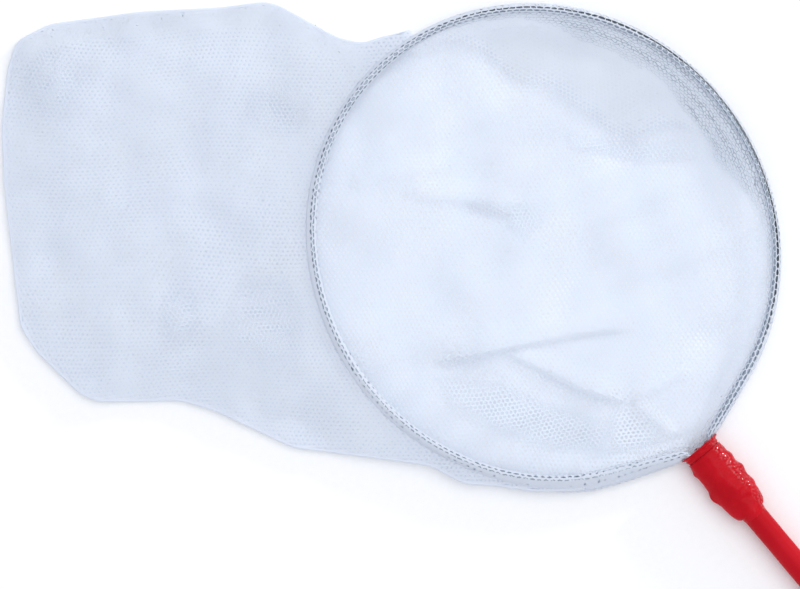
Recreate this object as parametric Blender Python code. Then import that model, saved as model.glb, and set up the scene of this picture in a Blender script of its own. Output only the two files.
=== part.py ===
"""Pond dipping net, lying flat as it does when it is put down.

A galvanised wire hoop, its two ends turned out as tangs beside a steel tube handle, bound with wire and
covered with an oval red sleeve. A bag of fine white netting, sewn from two panels, hangs from a hem round
the hoop and lies to one side. A coarse grid of openings in the panels stands for the fine mesh.

Metres, +Z up. The handle runs along +X. The origin is below the middle of the hoop, on the ground.
"""

import math

import bmesh
import bpy
import numpy as np
from mathutils import Vector
from mathutils.geometry import delaunay_2d_cdt

# Fits
GAP = 0.0003

# Hoop
HOOP_LENGTH = 0.2574
HOOP_WIDTH = 0.2420
WIRE_DIAMETER = 0.0032
SHOULDER_ANGLE = math.radians(21.2)
NECK_BEND_RADIUS = 0.006
HOOP_SKEW = math.radians(-2.8)

# Handle
HANDLE_LENGTH = 0.600
TUBE_DIAMETER = 0.0100
TUBE_WALL = 0.0010
COATING_DIAMETER = 0.0128
CAP_WALL = 0.0007
CAP_LENGTH = 0.026
CAP_END = 0.0025
CAP_ROUND = 0.0022

# Joint between hoop and handle
TAPE_SETBACK = 0.0012
TAPE_WIDTH = 0.0045
TAPE_LIP = 0.0010
TUBE_RECESS = 0.0015
SLEEVE_LENGTH = 0.0430
SLEEVE_WALL = 0.0007
SLEEVE_SWELL = 0.0007
SLEEVE_SWELL_AT = 0.60
SLEEVE_END_WALL = 0.0004
SHOULDER_LENGTH = 0.010
SHOULDER_GRIP = 0.003
BINDING_DIAMETER = 0.0006
BINDING_TURNS = 6
BINDING_MARGIN = 0.003

# Bag of netting
NET_THICKNESS = 0.0008
HEM_WALL = 0.0006
HEM_SLACK = 0.0011
HEM_STOP = 0.0085
WALL_RUN = 0.024
SEAM_WIDTH = 0.008
SEAM_THICKNESS = 0.0006
DOME_HEIGHT = 0.0055
DOME_RUN = 0.045
PANEL_LIP = 0.0025
MESH_PITCH = 0.032
MESH_OPENING = 0.012
BAG_HEADING = math.radians(230.0)
BAG_SIDE_BEARINGS = (math.radians(58.0), math.radians(-100.0))
# Outline of the tail, from one side of the hoop round to the other: the bearing off the bag's own line in
# degrees, and how far the edge lies beyond the rim there.
TAIL_OUTLINE = (
    (47.0, 0.0180),
    (43.0, 0.0440),
    (41.5, 0.0700),
    (33.5, 0.1010),
    (24.5, 0.1590),
    (20.5, 0.1740),
    (12.0, 0.1730),
    (-8.5, 0.1600),
    (-14.0, 0.1500),
    (-19.5, 0.1310),
    (-22.5, 0.0920),
    (-26.0, 0.0770),
    (-39.0, 0.0510),
    (-61.0, 0.0120),
    (-73.0, 0.0118),
    (-89.0, 0.0080),
)

# Facets
HOOP_STEPS = 60
BEND_STEPS = 5
ROUND_SIDES = 24
HEM_SIDES = 8
SLEEVE_STEPS = 9
SHOULDER_STEPS = 7
TURN_POINTS = 24
OUTLINE_STEP = 0.009
PANEL_STEP = 0.012

# Sizes that follow from the ones above
WIRE_RADIUS = WIRE_DIAMETER / 2
TUBE_RADIUS = TUBE_DIAMETER / 2
COATING_RADIUS = COATING_DIAMETER / 2
TANG_Y = TUBE_RADIUS + GAP + WIRE_RADIUS
BINDING_HALF_WIDTH = TANG_Y + WIRE_RADIUS + GAP + BINDING_DIAMETER / 2
BINDING_HALF_HEIGHT = TUBE_RADIUS + GAP + BINDING_DIAMETER / 2
BORE_HALF_WIDTH = BINDING_HALF_WIDTH + BINDING_DIAMETER / 2 + GAP
BORE_HALF_HEIGHT = BINDING_HALF_HEIGHT + BINDING_DIAMETER / 2 + GAP
HEM_HALF_HEIGHT = WIRE_RADIUS + GAP + HEM_WALL
HEM_OUTSIDE = HEM_HALF_HEIGHT + HEM_SLACK
GRIP_RADIUS = COATING_RADIUS + GAP
CAP_RADIUS = GRIP_RADIUS + CAP_WALL
SLEEVE_HALF_HEIGHT = BORE_HALF_HEIGHT + SLEEVE_WALL + SLEEVE_SWELL
AXIS_Z = max(CAP_RADIUS, SLEEVE_HALF_HEIGHT, HEM_HALF_HEIGHT + GAP + NET_THICKNESS)
PANEL_RISE = AXIS_Z - HEM_HALF_HEIGHT - GAP - NET_THICKNESS
SEAM_ROOM = SEAM_THICKNESS + 2 * GAP


def ellipse_point(angle):
    """Point of the hoop's wire centre line, in the hoop's own frame."""
    return np.array((HOOP_LENGTH / 2 * math.cos(angle), HOOP_WIDTH / 2 * math.sin(angle)))


def neck_corner():
    """How far out the straight shoulders of the hoop would meet the tangs, in the hoop's own frame."""
    start = ellipse_point(SHOULDER_ANGLE)
    run = (start[1] - TANG_Y) / (HOOP_WIDTH / 2 * math.cos(SHOULDER_ANGLE))
    return start[0] + run * HOOP_LENGTH / 2 * math.sin(SHOULDER_ANGLE)


NECK_X = neck_corner()
TAPE_START = NECK_X + TAPE_SETBACK
SLEEVE_START = TAPE_START + TAPE_WIDTH + GAP
SLEEVE_END = SLEEVE_START + SLEEVE_LENGTH
TANG_END = SLEEVE_END - SHOULDER_LENGTH - BINDING_MARGIN / 2
COATING_START = SLEEVE_END - SHOULDER_GRIP + GAP
HANDLE_END = NECK_X + HANDLE_LENGTH
CORE_END = HANDLE_END - CAP_END - GAP


def turned(point, angle, centre=(0.0, 0.0)):
    """A point turned about a centre in the ground plane."""
    x = point[0] - centre[0]
    y = point[1] - centre[1]
    cos, sin = math.cos(angle), math.sin(angle)
    return np.array((centre[0] + cos * x - sin * y, centre[1] + sin * x + cos * y))


def hoop_to_part(point):
    """The hoop sits a little askew on its handle: it is turned about the neck."""
    return turned(point, HOOP_SKEW, (NECK_X, 0.0))


HOOP_CENTRE = hoop_to_part((0.0, 0.0))


def rim_radius(angle):
    """Distance from the hoop's middle to the wire in a direction of the part's frame."""
    cos = math.cos(angle - HOOP_SKEW)
    sin = math.sin(angle - HOOP_SKEW)
    half_length, half_width = HOOP_LENGTH / 2, HOOP_WIDTH / 2
    return half_length * half_width / math.hypot(half_width * cos, half_length * sin)


def from_hoop(angle, radius):
    """Point at a direction and distance from the hoop's middle."""
    return HOOP_CENTRE + radius * np.array((math.cos(angle), math.sin(angle)))


def meet_tang(shoulder, neck_point, tang_y):
    """Where the line of a shoulder crosses the line of its tang."""
    step = neck_point - shoulder
    return shoulder + step * (tang_y - shoulder[1]) / step[1]


def rounded_corner(before, corner, after, radius, steps):
    """Arc that rounds the corner between two straight runs."""
    first = (before - corner) / np.linalg.norm(before - corner)
    last = (after - corner) / np.linalg.norm(after - corner)
    half = math.acos(float(np.clip(first @ last, -1, 1))) / 2
    middle = (first + last) / np.linalg.norm(first + last)
    centre = corner + middle * radius / math.sin(half)
    start = corner + first * radius / math.tan(half) - centre
    end = corner + last * radius / math.tan(half) - centre
    sweep = math.atan2(start[0] * end[1] - start[1] * end[0], float(start @ end))
    return [centre + turned(start, sweep * i / steps) for i in range(steps + 1)]


def hoop_path():
    """Wire centre line: tang, bend, shoulder, round the ring, shoulder, bend, tang."""
    sides = (1, -1)
    shoulders = [hoop_to_part(ellipse_point(side * SHOULDER_ANGLE)) for side in sides]
    aims = [hoop_to_part((NECK_X, side * TANG_Y)) for side in sides]
    corners = [meet_tang(shoulders[i], aims[i], sides[i] * TANG_Y) for i in range(2)]
    ends = [np.array((TANG_END, side * TANG_Y)) for side in sides]
    runs = zip(ends, corners, shoulders)
    bends = [rounded_corner(*run, NECK_BEND_RADIUS, BEND_STEPS) for run in runs]
    sweep = 2 * (math.pi - SHOULDER_ANGLE)
    ring = [
        hoop_to_part(ellipse_point(SHOULDER_ANGLE + sweep * i / HOOP_STEPS)) for i in range(HOOP_STEPS + 1)
    ]
    return {
        "wire": [ends[0], *bends[0], *ring, *reversed(bends[1]), ends[1]],
        "ring": ring,
        "corners": corners,
    }


def rim_path(path):
    """The part of the hoop that the hem wraps, from one side of the neck round to the other."""
    ring, corners = path["ring"], path["corners"]
    starts = []
    for shoulder, corner in zip((ring[0], ring[-1]), corners):
        along = (shoulder - corner) / np.linalg.norm(shoulder - corner)
        starts.append(corner + along * HEM_STOP)
    return [starts[0], *ring, starts[1]]


def resampled(points, step):
    """Points at even distances along a polyline."""
    points = np.asarray(points)
    lengths = np.concatenate(((0.0,), np.cumsum(np.linalg.norm(np.diff(points, axis=0), axis=1))))
    count = max(2, round(lengths[-1] / step))
    marks = np.linspace(0.0, lengths[-1], count + 1)
    return np.column_stack([np.interp(marks, lengths, points[:, axis]) for axis in range(2)])


def smooth_curve(points, steps=8):
    """Catmull-Rom curve through points."""
    points = [np.asarray(p) for p in points]
    padded = [2 * points[0] - points[1], *points, 2 * points[-1] - points[-2]]
    curve = []
    for a, b, c, d in zip(padded, padded[1:], padded[2:], padded[3:]):
        for i in range(steps):
            t = i / steps
            square = (2 * a - 5 * b + 4 * c - d) * t**2
            cube = (3 * b - a - 3 * c + d) * t**3
            curve.append(0.5 * (2 * b + (c - a) * t + square + cube))
    curve.append(points[-1])
    return curve


def distance_to(points, line):
    """Distance from each point to the nearest point of a finely sampled line."""
    return np.min(np.linalg.norm(points[:, None, :] - line[None, :, :], axis=2), axis=1)


def ease(share):
    """Smooth step from 0 to 1."""
    share = np.clip(share, 0.0, 1.0)
    return share * share * (3 - 2 * share)


def clear_scene():
    """Start from nothing."""
    for obj in list(bpy.data.objects):
        bpy.data.objects.remove(obj, do_unlink=True)


def material(name, colour, roughness, metallic=0.0):
    """A plain Principled material."""
    mat = bpy.data.materials.new(name)
    mat.use_nodes = True
    shader = mat.node_tree.nodes["Principled BSDF"]
    shader.inputs["Base Color"].default_value = (*colour, 1.0)
    shader.inputs["Roughness"].default_value = roughness
    shader.inputs["Metallic"].default_value = metallic
    return mat


def link(name, data, mat):
    """Put a piece into the scene."""
    data.materials.append(mat)
    obj = bpy.data.objects.new(name, data)
    bpy.context.scene.collection.objects.link(obj)
    return obj


def mesh_piece(name, bm, mat):
    """Turn a finished bmesh into a piece with smooth round faces."""
    bmesh.ops.recalc_face_normals(bm, faces=bm.faces)
    mesh = bpy.data.meshes.new(name)
    bm.to_mesh(mesh)
    bm.free()
    mesh.shade_smooth()
    mesh.set_sharp_from_angle(angle=math.radians(35))
    return link(name, mesh, mat)


def skin(name, rings, mat, loop=False):
    """Closed body over a row of equal rings, capped at its ends or looped back to its start."""
    bm = bmesh.new()
    rows = [[bm.verts.new(point) for point in ring] for ring in rings]
    pairs = list(zip(rows, rows[1:]))
    if loop:
        pairs.append((rows[-1], rows[0]))
    for low, high in pairs:
        for i in range(len(low)):
            bm.faces.new((low[i - 1], low[i], high[i], high[i - 1]))
    if not loop:
        bm.faces.new(rows[0])
        bm.faces.new(rows[-1])
    return mesh_piece(name, bm, mat)


def shell(name, outer, inner, mat):
    """Open-ended shell between a row of outer rings and a row of inner rings."""
    return skin(name, [*outer, *reversed(inner)], mat, loop=True)


def oval(x, half_width, half_height):
    """Ring across the handle's axis."""
    ring = []
    for i in range(ROUND_SIDES):
        angle = 2 * math.pi * i / ROUND_SIDES
        ring.append((x, half_width * math.cos(angle), AXIS_Z + half_height * math.sin(angle)))
    return ring


def wire_tube(name, points, radius, resolution, mat):
    """Round wire along a polyline."""
    curve = bpy.data.curves.new(name, "CURVE")
    curve.dimensions = "3D"
    curve.bevel_depth = radius
    curve.bevel_resolution = resolution
    curve.use_fill_caps = True
    spline = curve.splines.new("POLY")
    spline.points.add(len(points) - 1)
    for spot, point in zip(spline.points, points):
        spot.co = (*point, 1.0)
    spline.use_smooth = True
    return link(name, curve, mat)


def inside(points, outline):
    """Which points lie inside a closed outline."""
    result = np.zeros(len(points), dtype=bool)
    for (ax, ay), (bx, by) in zip(outline, np.roll(outline, -1, axis=0)):
        crosses = (ay > points[:, 1]) != (by > points[:, 1])
        at = ax + (points[:, 1] - ay) * (bx - ax) / np.where(by == ay, 1.0, by - ay)
        result ^= crosses & (points[:, 0] < at)
    return result


def closed(loop):
    """A loop that comes back to its first point."""
    return np.vstack((loop, loop[:1]))


def lattice(outline, step):
    """Staggered points inside an outline, clear of its edge; the origin is midway between three of them."""
    row_step = step * math.sqrt(3) / 2
    low, high = outline.min(axis=0), outline.max(axis=0)
    rows = range(math.floor(low[1] / row_step), math.ceil(high[1] / row_step) + 1)
    columns = range(math.floor(low[0] / step) - 1, math.ceil(high[0] / step) + 1)
    points = [((i + (j % 2 + 1) / 2) * step, (j + 1 / 3) * row_step) for j in rows for i in columns]
    points = np.array(points)
    points = points[inside(points, outline)]
    return points[distance_to(points, resampled(closed(outline), step / 8)) > step / 2]


def mesh_openings(outline):
    """Staggered hexagonal openings of a panel."""
    reach = MESH_OPENING / math.sqrt(3)
    corners = np.array([turned((0.0, reach), math.radians(60 * i)) for i in range(6)])
    return [middle + corners for middle in lattice(outline, MESH_PITCH)]


def sheet(name, outline, under, thickness, mat):
    """Sheet of even thickness with openings over a flat outline, with its underside at a given height."""
    openings = mesh_openings(outline)
    filling = lattice(outline, PANEL_STEP)
    for opening in openings:
        filling = filling[~inside(filling, opening)]
        filling = filling[distance_to(filling, resampled(closed(opening), PANEL_STEP / 8)) > PANEL_STEP / 3]
    flat = [Vector(point) for loop in (outline, *openings, filling) for point in loop]
    rim = list(range(len(outline)))
    sides = []
    for i in range(len(openings)):
        start = len(outline) + 6 * i
        sides += [(start + k, start + (k + 1) % 6) for k in range(6)]
    spots, _, triangles, *_ = delaunay_2d_cdt(flat, sides, [rim], 1, 1e-7)
    middles = np.array([sum((spots[i] for i in face), Vector((0.0, 0.0))) / 3 for face in triangles])
    open_here = np.zeros(len(triangles), dtype=bool)
    for opening in openings:
        open_here |= inside(middles, opening)
    triangles = [face for face, is_open in zip(triangles, open_here) if not is_open]
    heights = under(np.array(spots))
    bm = bmesh.new()
    lower = [bm.verts.new((p.x, p.y, z)) for p, z in zip(spots, heights)]
    upper = [bm.verts.new((p.x, p.y, z + thickness)) for p, z in zip(spots, heights)]
    edges = set()
    for face in triangles:
        bm.faces.new([upper[i] for i in face])
        bm.faces.new([lower[i] for i in reversed(face)])
        edges |= set(zip(face, (*face[1:], face[0])))
    for a, b in edges:
        if (b, a) not in edges:
            bm.faces.new((lower[a], lower[b], upper[b], upper[a]))
    return mesh_piece(name, bm, mat)


def add_hoop(path, mat):
    """The wire with its two tangs."""
    wire_tube("hoop_wire", [(*p, AXIS_Z) for p in path["wire"]], WIRE_RADIUS, 2, mat)


def add_handle(steel, red):
    """Steel tube, its red skin and the cap on the far end."""
    tube_start = TAPE_START + TUBE_RECESS
    bore = TUBE_RADIUS - TUBE_WALL
    ends = (tube_start, CORE_END)
    shell(
        "handle_tube",
        [oval(x, TUBE_RADIUS, TUBE_RADIUS) for x in ends],
        [oval(x, bore, bore) for x in ends],
        steel,
    )
    ends = (COATING_START, CORE_END)
    lining = TUBE_RADIUS + GAP
    shell(
        "handle_coating",
        [oval(x, COATING_RADIUS, COATING_RADIUS) for x in ends],
        [oval(x, lining, lining) for x in ends],
        red,
    )
    mouth = HANDLE_END - CAP_LENGTH
    floor = HANDLE_END - CAP_END
    rings = [oval(floor, GRIP_RADIUS, GRIP_RADIUS), oval(mouth, GRIP_RADIUS, GRIP_RADIUS)]
    rings.append(oval(mouth, CAP_RADIUS, CAP_RADIUS))
    for i in range(BEND_STEPS + 1):
        angle = math.pi / 2 * i / BEND_STEPS
        radius = CAP_RADIUS - CAP_ROUND * (1 - math.cos(angle))
        rings.append(oval(HANDLE_END - CAP_ROUND * (1 - math.sin(angle)), radius, radius))
    skin("handle_end_cap", rings, red)


def add_binding(mat):
    """Wire wound round tang, tube and tang, with short straight ends; prints its least gap to itself."""
    start = SLEEVE_START + BINDING_MARGIN
    run = TANG_END - BINDING_MARGIN - start
    points = []
    for i in range(BINDING_TURNS * TURN_POINTS + 1):
        angle = 2 * math.pi * i / TURN_POINTS
        x = start + run * i / (BINDING_TURNS * TURN_POINTS)
        y = BINDING_HALF_WIDTH * math.cos(angle)
        points.append(np.array((x, y, AXIS_Z + BINDING_HALF_HEIGHT * math.sin(angle))))
    coil = np.array(points)
    apart = np.linalg.norm(coil[:, None, :] - coil[None, :, :], axis=2)
    order = np.abs(np.subtract.outer(np.arange(len(coil)), np.arange(len(coil))))
    gap = apart[order > TURN_POINTS // 2].min() - BINDING_DIAMETER
    print(f"tang_binding least gap to itself: {gap * 1000:.2f} mm")
    for end, inner in ((0, 1), (-1, -2)):
        away = points[end] - points[inner]
        away /= np.linalg.norm(away)
        points.insert(0 if end == 0 else len(points), points[end] + away * BINDING_DIAMETER)
    wire_tube("tang_binding", points, BINDING_DIAMETER / 2, 1, mat)


def wire_half_width(path, x):
    """Half of the width that the two bent wires take up across the handle at x."""
    line = resampled(path["wire"], WIRE_RADIUS / 10)
    near = line[np.abs(line[:, 0] - x) < WIRE_RADIUS]
    return float(np.max(np.abs(near[:, 1]) + np.sqrt(WIRE_RADIUS**2 - (near[:, 0] - x) ** 2)))


def add_joint_covers(path, red):
    """Flared lip at the neck, and the oval sleeve that swells and then shoulders down to the handle."""
    stations = np.linspace(TAPE_START, TAPE_START + TAPE_WIDTH, BEND_STEPS)
    outer, inner = [], []
    for i, x in enumerate(stations):
        half_width = max(wire_half_width(path, x) + GAP, BORE_HALF_WIDTH - BINDING_DIAMETER)
        lip = TAPE_LIP * (1 - i / (BEND_STEPS - 1)) ** 2
        inner.append(oval(x, half_width, BORE_HALF_HEIGHT))
        outer.append(oval(x, half_width + SLEEVE_WALL + lip, BORE_HALF_HEIGHT + SLEEVE_WALL))
    shell("neck_tape", outer, inner, red)

    outer, inner = [], []
    shoulder = SLEEVE_END - SHOULDER_LENGTH
    seat = SLEEVE_END - SHOULDER_GRIP
    for x in np.linspace(SLEEVE_START, shoulder, SLEEVE_STEPS):
        share = (x - SLEEVE_START) / (shoulder - SLEEVE_START)
        bulge = share ** math.log(0.5, SLEEVE_SWELL_AT)
        wall = SLEEVE_WALL + SLEEVE_SWELL * math.sin(math.pi * bulge)
        inner.append(oval(x, BORE_HALF_WIDTH, BORE_HALF_HEIGHT))
        outer.append(oval(x, BORE_HALF_WIDTH + wall, BORE_HALF_HEIGHT + wall))
    for i in range(1, SHOULDER_STEPS + 1):
        share = i / SHOULDER_STEPS
        x = shoulder + (seat - shoulder) * share
        drop = 1 - math.sqrt(1 - share**2) if share < 1 else 1.0
        half_width = BORE_HALF_WIDTH + (GRIP_RADIUS - BORE_HALF_WIDTH) * drop
        half_height = BORE_HALF_HEIGHT + (GRIP_RADIUS - BORE_HALF_HEIGHT) * share
        wall = SLEEVE_WALL + (SLEEVE_END_WALL - SLEEVE_WALL) * share
        inner.append(oval(x, half_width, half_height))
        outer.append(oval(x, half_width + wall, half_height + wall))
    inner.append(oval(SLEEVE_END, GRIP_RADIUS, GRIP_RADIUS))
    outer.append(oval(SLEEVE_END, GRIP_RADIUS + SLEEVE_END_WALL, GRIP_RADIUS + SLEEVE_END_WALL))
    shell("joint_sleeve", outer, inner, red)


def add_hem(rim, mat):
    """Sleeve of netting round the wire, a little slack on its outer side."""
    points = np.asarray(rim)
    along = np.gradient(points, axis=0)
    along /= np.linalg.norm(along, axis=1)[:, None]
    outward = np.column_stack((along[:, 1], -along[:, 0]))
    flat_to_corner = 1 / math.cos(math.pi / HEM_SIDES)

    def rings(half_height):
        half_width = (half_height + HEM_SLACK / 2) * flat_to_corner
        rows = []
        for point, normal in zip(points, outward):
            row = []
            for i in range(HEM_SIDES):
                angle = 2 * math.pi * (i + 0.5) / HEM_SIDES
                flat = point + normal * (HEM_SLACK / 2 + half_width * math.cos(angle))
                row.append((*flat, AXIS_Z + half_height * flat_to_corner * math.sin(angle)))
            rows.append(row)
        return rows

    shell("rim_hem", rings(HEM_HALF_HEIGHT), rings(HEM_HALF_HEIGHT - HEM_WALL), mat)


def tail_edge():
    """Outer edge of the bag's tail, from one side of the hoop round to the other."""
    clear = HEM_OUTSIDE + GAP + PANEL_LIP
    first, last = (BAG_HEADING - bearing for bearing in BAG_SIDE_BEARINGS)
    points = [from_hoop(first, rim_radius(first) + clear)]
    for bearing, reach in TAIL_OUTLINE:
        angle = BAG_HEADING - math.radians(bearing)
        points.append(from_hoop(angle, rim_radius(angle) + reach))
    points.append(from_hoop(last, rim_radius(last) + clear))
    return resampled(smooth_curve(points), OUTLINE_STEP)


def add_bag(rim, mat):
    """Two panels of netting, joined by a sewn seam round the tail."""
    tail = tail_edge()
    first, last = (BAG_HEADING - bearing for bearing in BAG_SIDE_BEARINGS)
    rim = np.asarray(rim)
    headings = np.mod(np.arctan2(rim[:, 1] - HOOP_CENTRE[1], rim[:, 0] - HOOP_CENTRE[0]), 2 * math.pi)
    one_side = [from_hoop(first, rim_radius(first)), *rim[headings < first][::-1]]
    other_side = [*rim[headings > last][::-1], from_hoop(last, rim_radius(last))]
    far_rim = resampled([*one_side, *other_side], OUTLINE_STEP)
    far_line = resampled(far_rim, OUTLINE_STEP / 8)
    tail_line = resampled(tail, OUTLINE_STEP / 8)

    def lower_height(points):
        return PANEL_RISE * ease(1 - distance_to(points, far_line) / WALL_RUN)

    sheet("net_lower_panel", np.vstack((far_rim, tail[::-1])), lower_height, NET_THICKNESS, mat)

    clear = HEM_OUTSIDE + GAP
    sweep = np.linspace(first, last, round((last - first) * HOOP_WIDTH / 2 / OUTLINE_STEP))
    near_rim = np.array([from_hoop(angle, rim_radius(angle) + clear) for angle in sweep])
    near_line = resampled(near_rim, OUTLINE_STEP / 8)

    def upper_height(points):
        base = lower_height(points) + NET_THICKNESS + SEAM_ROOM
        at_rim = AXIS_Z - NET_THICKNESS / 2
        crown = base + DOME_HEIGHT * ease(distance_to(points, tail_line) / DOME_RUN)
        return at_rim + (crown - at_rim) * ease(distance_to(points, near_line) / DOME_RUN)

    sheet("net_upper_panel", np.vstack((near_rim, tail[::-1])), upper_height, NET_THICKNESS, mat)

    flat_tail = tail[distance_to(tail, far_line) > WALL_RUN]
    along = np.gradient(flat_tail, axis=0)
    along /= np.linalg.norm(along, axis=1)[:, None]
    inward = np.column_stack((-along[:, 1], along[:, 0]))
    width = np.minimum(SEAM_WIDTH, distance_to(flat_tail, near_line))
    low, high = NET_THICKNESS + GAP, NET_THICKNESS + GAP + SEAM_THICKNESS
    rings = []
    for edge, inner in zip(flat_tail, flat_tail + inward * width[:, None]):
        rings.append([(*edge, low), (*inner, low), (*inner, high), (*edge, high)])
    skin("bag_seam", rings, mat)


def main():
    clear_scene()
    steel = material("galvanised_steel", (0.42, 0.45, 0.50), 0.35, 1.0)
    tube_steel = material("tube_steel", (0.45, 0.46, 0.48), 0.4, 1.0)
    red = material("red_plastic", (0.58, 0.012, 0.022), 0.25)
    path = hoop_path()
    rim = rim_path(path)
    add_hoop(path, steel)
    add_handle(tube_steel, red)
    add_binding(steel)
    add_joint_covers(path, red)
    net = material("white_netting", (0.87, 0.92, 0.98), 0.6)
    add_hem(rim, net)
    add_bag(rim, net)


main()
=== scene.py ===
"""Looks of the pond dipping net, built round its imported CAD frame.

The bag and its hem are knitted as real hexagonal netting: every strand is a thin arched ribbon, so the
net is see-through in any view. The wire, the red sleeve and the handle's skin are finer versions of the
CAD solids. Metres, +Z up, in the frame of the CAD part.
"""

import math
from functools import partial

import bpy
import numpy as np
from mathutils import Matrix, Vector


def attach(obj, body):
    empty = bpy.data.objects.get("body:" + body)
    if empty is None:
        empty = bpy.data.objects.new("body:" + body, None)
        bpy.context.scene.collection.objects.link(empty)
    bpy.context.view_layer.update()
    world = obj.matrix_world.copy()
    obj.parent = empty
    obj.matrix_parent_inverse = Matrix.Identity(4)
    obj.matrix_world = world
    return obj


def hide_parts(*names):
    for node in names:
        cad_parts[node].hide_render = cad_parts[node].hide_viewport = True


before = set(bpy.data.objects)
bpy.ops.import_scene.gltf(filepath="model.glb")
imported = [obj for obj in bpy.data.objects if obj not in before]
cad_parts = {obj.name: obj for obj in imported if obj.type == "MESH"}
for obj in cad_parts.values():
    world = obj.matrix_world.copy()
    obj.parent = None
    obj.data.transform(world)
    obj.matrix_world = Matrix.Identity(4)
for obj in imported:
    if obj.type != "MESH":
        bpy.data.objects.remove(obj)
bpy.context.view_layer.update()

MM = 0.001

# Sizes of the CAD part
GAP = 0.3 * MM
HOOP_LENGTH = 257.4 * MM
HOOP_WIDTH = 242.0 * MM
WIRE_RADIUS = 1.6 * MM
SHOULDER_ANGLE = math.radians(21.2)
NECK_BEND_RADIUS = 6.0 * MM
HOOP_SKEW = math.radians(-2.8)
HANDLE_LENGTH = 600.0 * MM
TUBE_RADIUS = 5.0 * MM
COATING_RADIUS = 6.4 * MM
CAP_WALL = 0.7 * MM
CAP_LENGTH = 26.0 * MM
CAP_END = 2.5 * MM
CAP_ROUND = 2.2 * MM
TAPE_SETBACK = 1.2 * MM
TAPE_WIDTH = 4.5 * MM
TAPE_LIP = 1.0 * MM
SLEEVE_LENGTH = 43.0 * MM
SLEEVE_WALL = 0.7 * MM
SLEEVE_SWELL = 0.7 * MM
SLEEVE_SWELL_AT = 0.60
SLEEVE_END_WALL = 0.25 * MM
SHOULDER_LENGTH = 10.0 * MM
SHOULDER_GRIP = 3.0 * MM
BINDING_DIAMETER = 0.6 * MM
BINDING_TURNS = 6
BINDING_MARGIN = 3.0 * MM
NET_THICKNESS = 0.8 * MM
HEM_WALL = 0.6 * MM
HEM_SLACK = 1.1 * MM
SEAM_THICKNESS = 0.6 * MM
DOME_RUN = 45.0 * MM
PANEL_LIP = 2.5 * MM
BAG_HEADING = math.radians(230.0)
BAG_SIDE_BEARINGS = (math.radians(58.0), math.radians(-100.0))
# Edge of the bag's tail: bearing from its heading in degrees, and reach beyond the wire in millimetres
TAIL_OUTLINE = (
    (51, 12.6), (48, 15.5), (45, 27), (42, 62), (41, 69), (36, 86.9), (30, 120.9),
    (24, 162.1), (21, 175.5), (18, 175.5), (12, 171), (6, 165.3), (0, 161.2), (-9, 160.5),
    (-12, 154.6), (-18, 138.3), (-19.4, 131), (-21, 112.6), (-23.2, 90), (-27, 75),
    (-33, 61.6), (-39, 51.5), (-45, 36.4), (-54, 20.5), (-63, 10.3), (-68, 10.8),
    (-72, 11.3), (-78, 7.6), (-88, 6.8),
)
TANG_Y = TUBE_RADIUS + GAP + WIRE_RADIUS
BORE_HALF_WIDTH = TANG_Y + WIRE_RADIUS + 2 * GAP + BINDING_DIAMETER
BORE_HALF_HEIGHT = TUBE_RADIUS + 2 * GAP + BINDING_DIAMETER
HEM_HALF_HEIGHT = WIRE_RADIUS + GAP + HEM_WALL
HEM_OUTSIDE = HEM_HALF_HEIGHT + HEM_SLACK
GRIP_RADIUS = COATING_RADIUS + GAP
CAP_RADIUS = GRIP_RADIUS + CAP_WALL
AXIS_Z = BORE_HALF_HEIGHT + SLEEVE_WALL + SLEEVE_SWELL
SEAM_ROOM = SEAM_THICKNESS + 2 * GAP

# Sampled lines and rings
FINE_STEP = 0.4 * MM
LINE_STEP = 1.0 * MM
RIM_STEP = 1.2 * MM
EDGE_STEP = 1.5 * MM
EDGE_SMOOTHING = 6
RING_STEPS = 361
NEAR_STEPS = 260
BEND_STEPS = 12
BATCH = 4000
WIRE_SIDES = 20
ROUND_SIDES = 72
OVAL_SIDES = 160
HANDLE_RINGS = 160
SLEEVE_RINGS = 220
LIP_RINGS = 40
END_POINT = 0.02

# Random draws of the sleeve, the hem and the wall
SLEEVE_SEED, HEM_SEED, WALL_SEED = 5, 9, 13

# Random waves: how many, and their shortest length and range of lengths as shares of the wanted length
WAVES = 14
SHORTEST_WAVE = 0.7
WAVE_RANGE = 0.8

# Netting: its pitch, the half widths of its strands, and how far strands, knots and panels stray
PITCH = 2.45 * MM
LOWER_STRAND = 0.88 * MM
UPPER_STRAND = 0.77 * MM
CLOSED_STRAND = 1.17 * MM
OPEN_STRAND = 0.50 * MM
STRAND_DRIFT = 0.07 * MM
STRAND_HEIGHT = 0.14 * MM
THIN_STRAND = 0.06 * MM
KNOT_WANDER = 0.14 * MM
DRIFT_WAVES = ((1.0, 55 * MM), (0.5, 18 * MM))
PRUNING = 4
SMALL_STEP = 0.2 * MM
SPAN_MARGIN = 60.0 * MM
PULL_WAVE = 130.0 * MM
LOWER_PULL = 1.6 * MM
UPPER_PULL = 2.8 * MM
FOLD_PULL = 2.0 * MM
PUCKER_PULL = 2.4 * MM

# Hem: its netting, the headings in degrees between which it is bare, and where across the wire, in
# millimetres, its flap starts and its meshes are bare
HEM_STRAND = 0.47 * MM
HEM_STRAND_WANDER = 0.16
HEM_STRAND_SPREAD = 0.5
HEM_STRAND_HEIGHT = 0.16 * MM
HEM_WANDER = 0.16 * MM
FLAP_STRAND = 1.42 * MM
HEM_STRETCH = 1.5
HEM_ROWS = 9
HEM_STOP = -1.0 * MM
HEM_LOOSE = 9.0 * MM
HEM_BEFORE, HEM_AFTER = 0.1, 0.9
HEM_CLOSING = 0.5
FLAP_FROM, FLAP_FADE = 1.3, 0.6
BARE_FROM, BARE_TO, BARE_FADE = 48.0, 138.0, 22.0
BARE_IN, BARE_IN_FADE, BARE_OUT, BARE_OUT_FADE = 0.35, 0.35, 1.95, 0.25
BARE_SHARE = 0.9
HEM_SWING = 0.35
HEM_TWIST = 0.25
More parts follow.
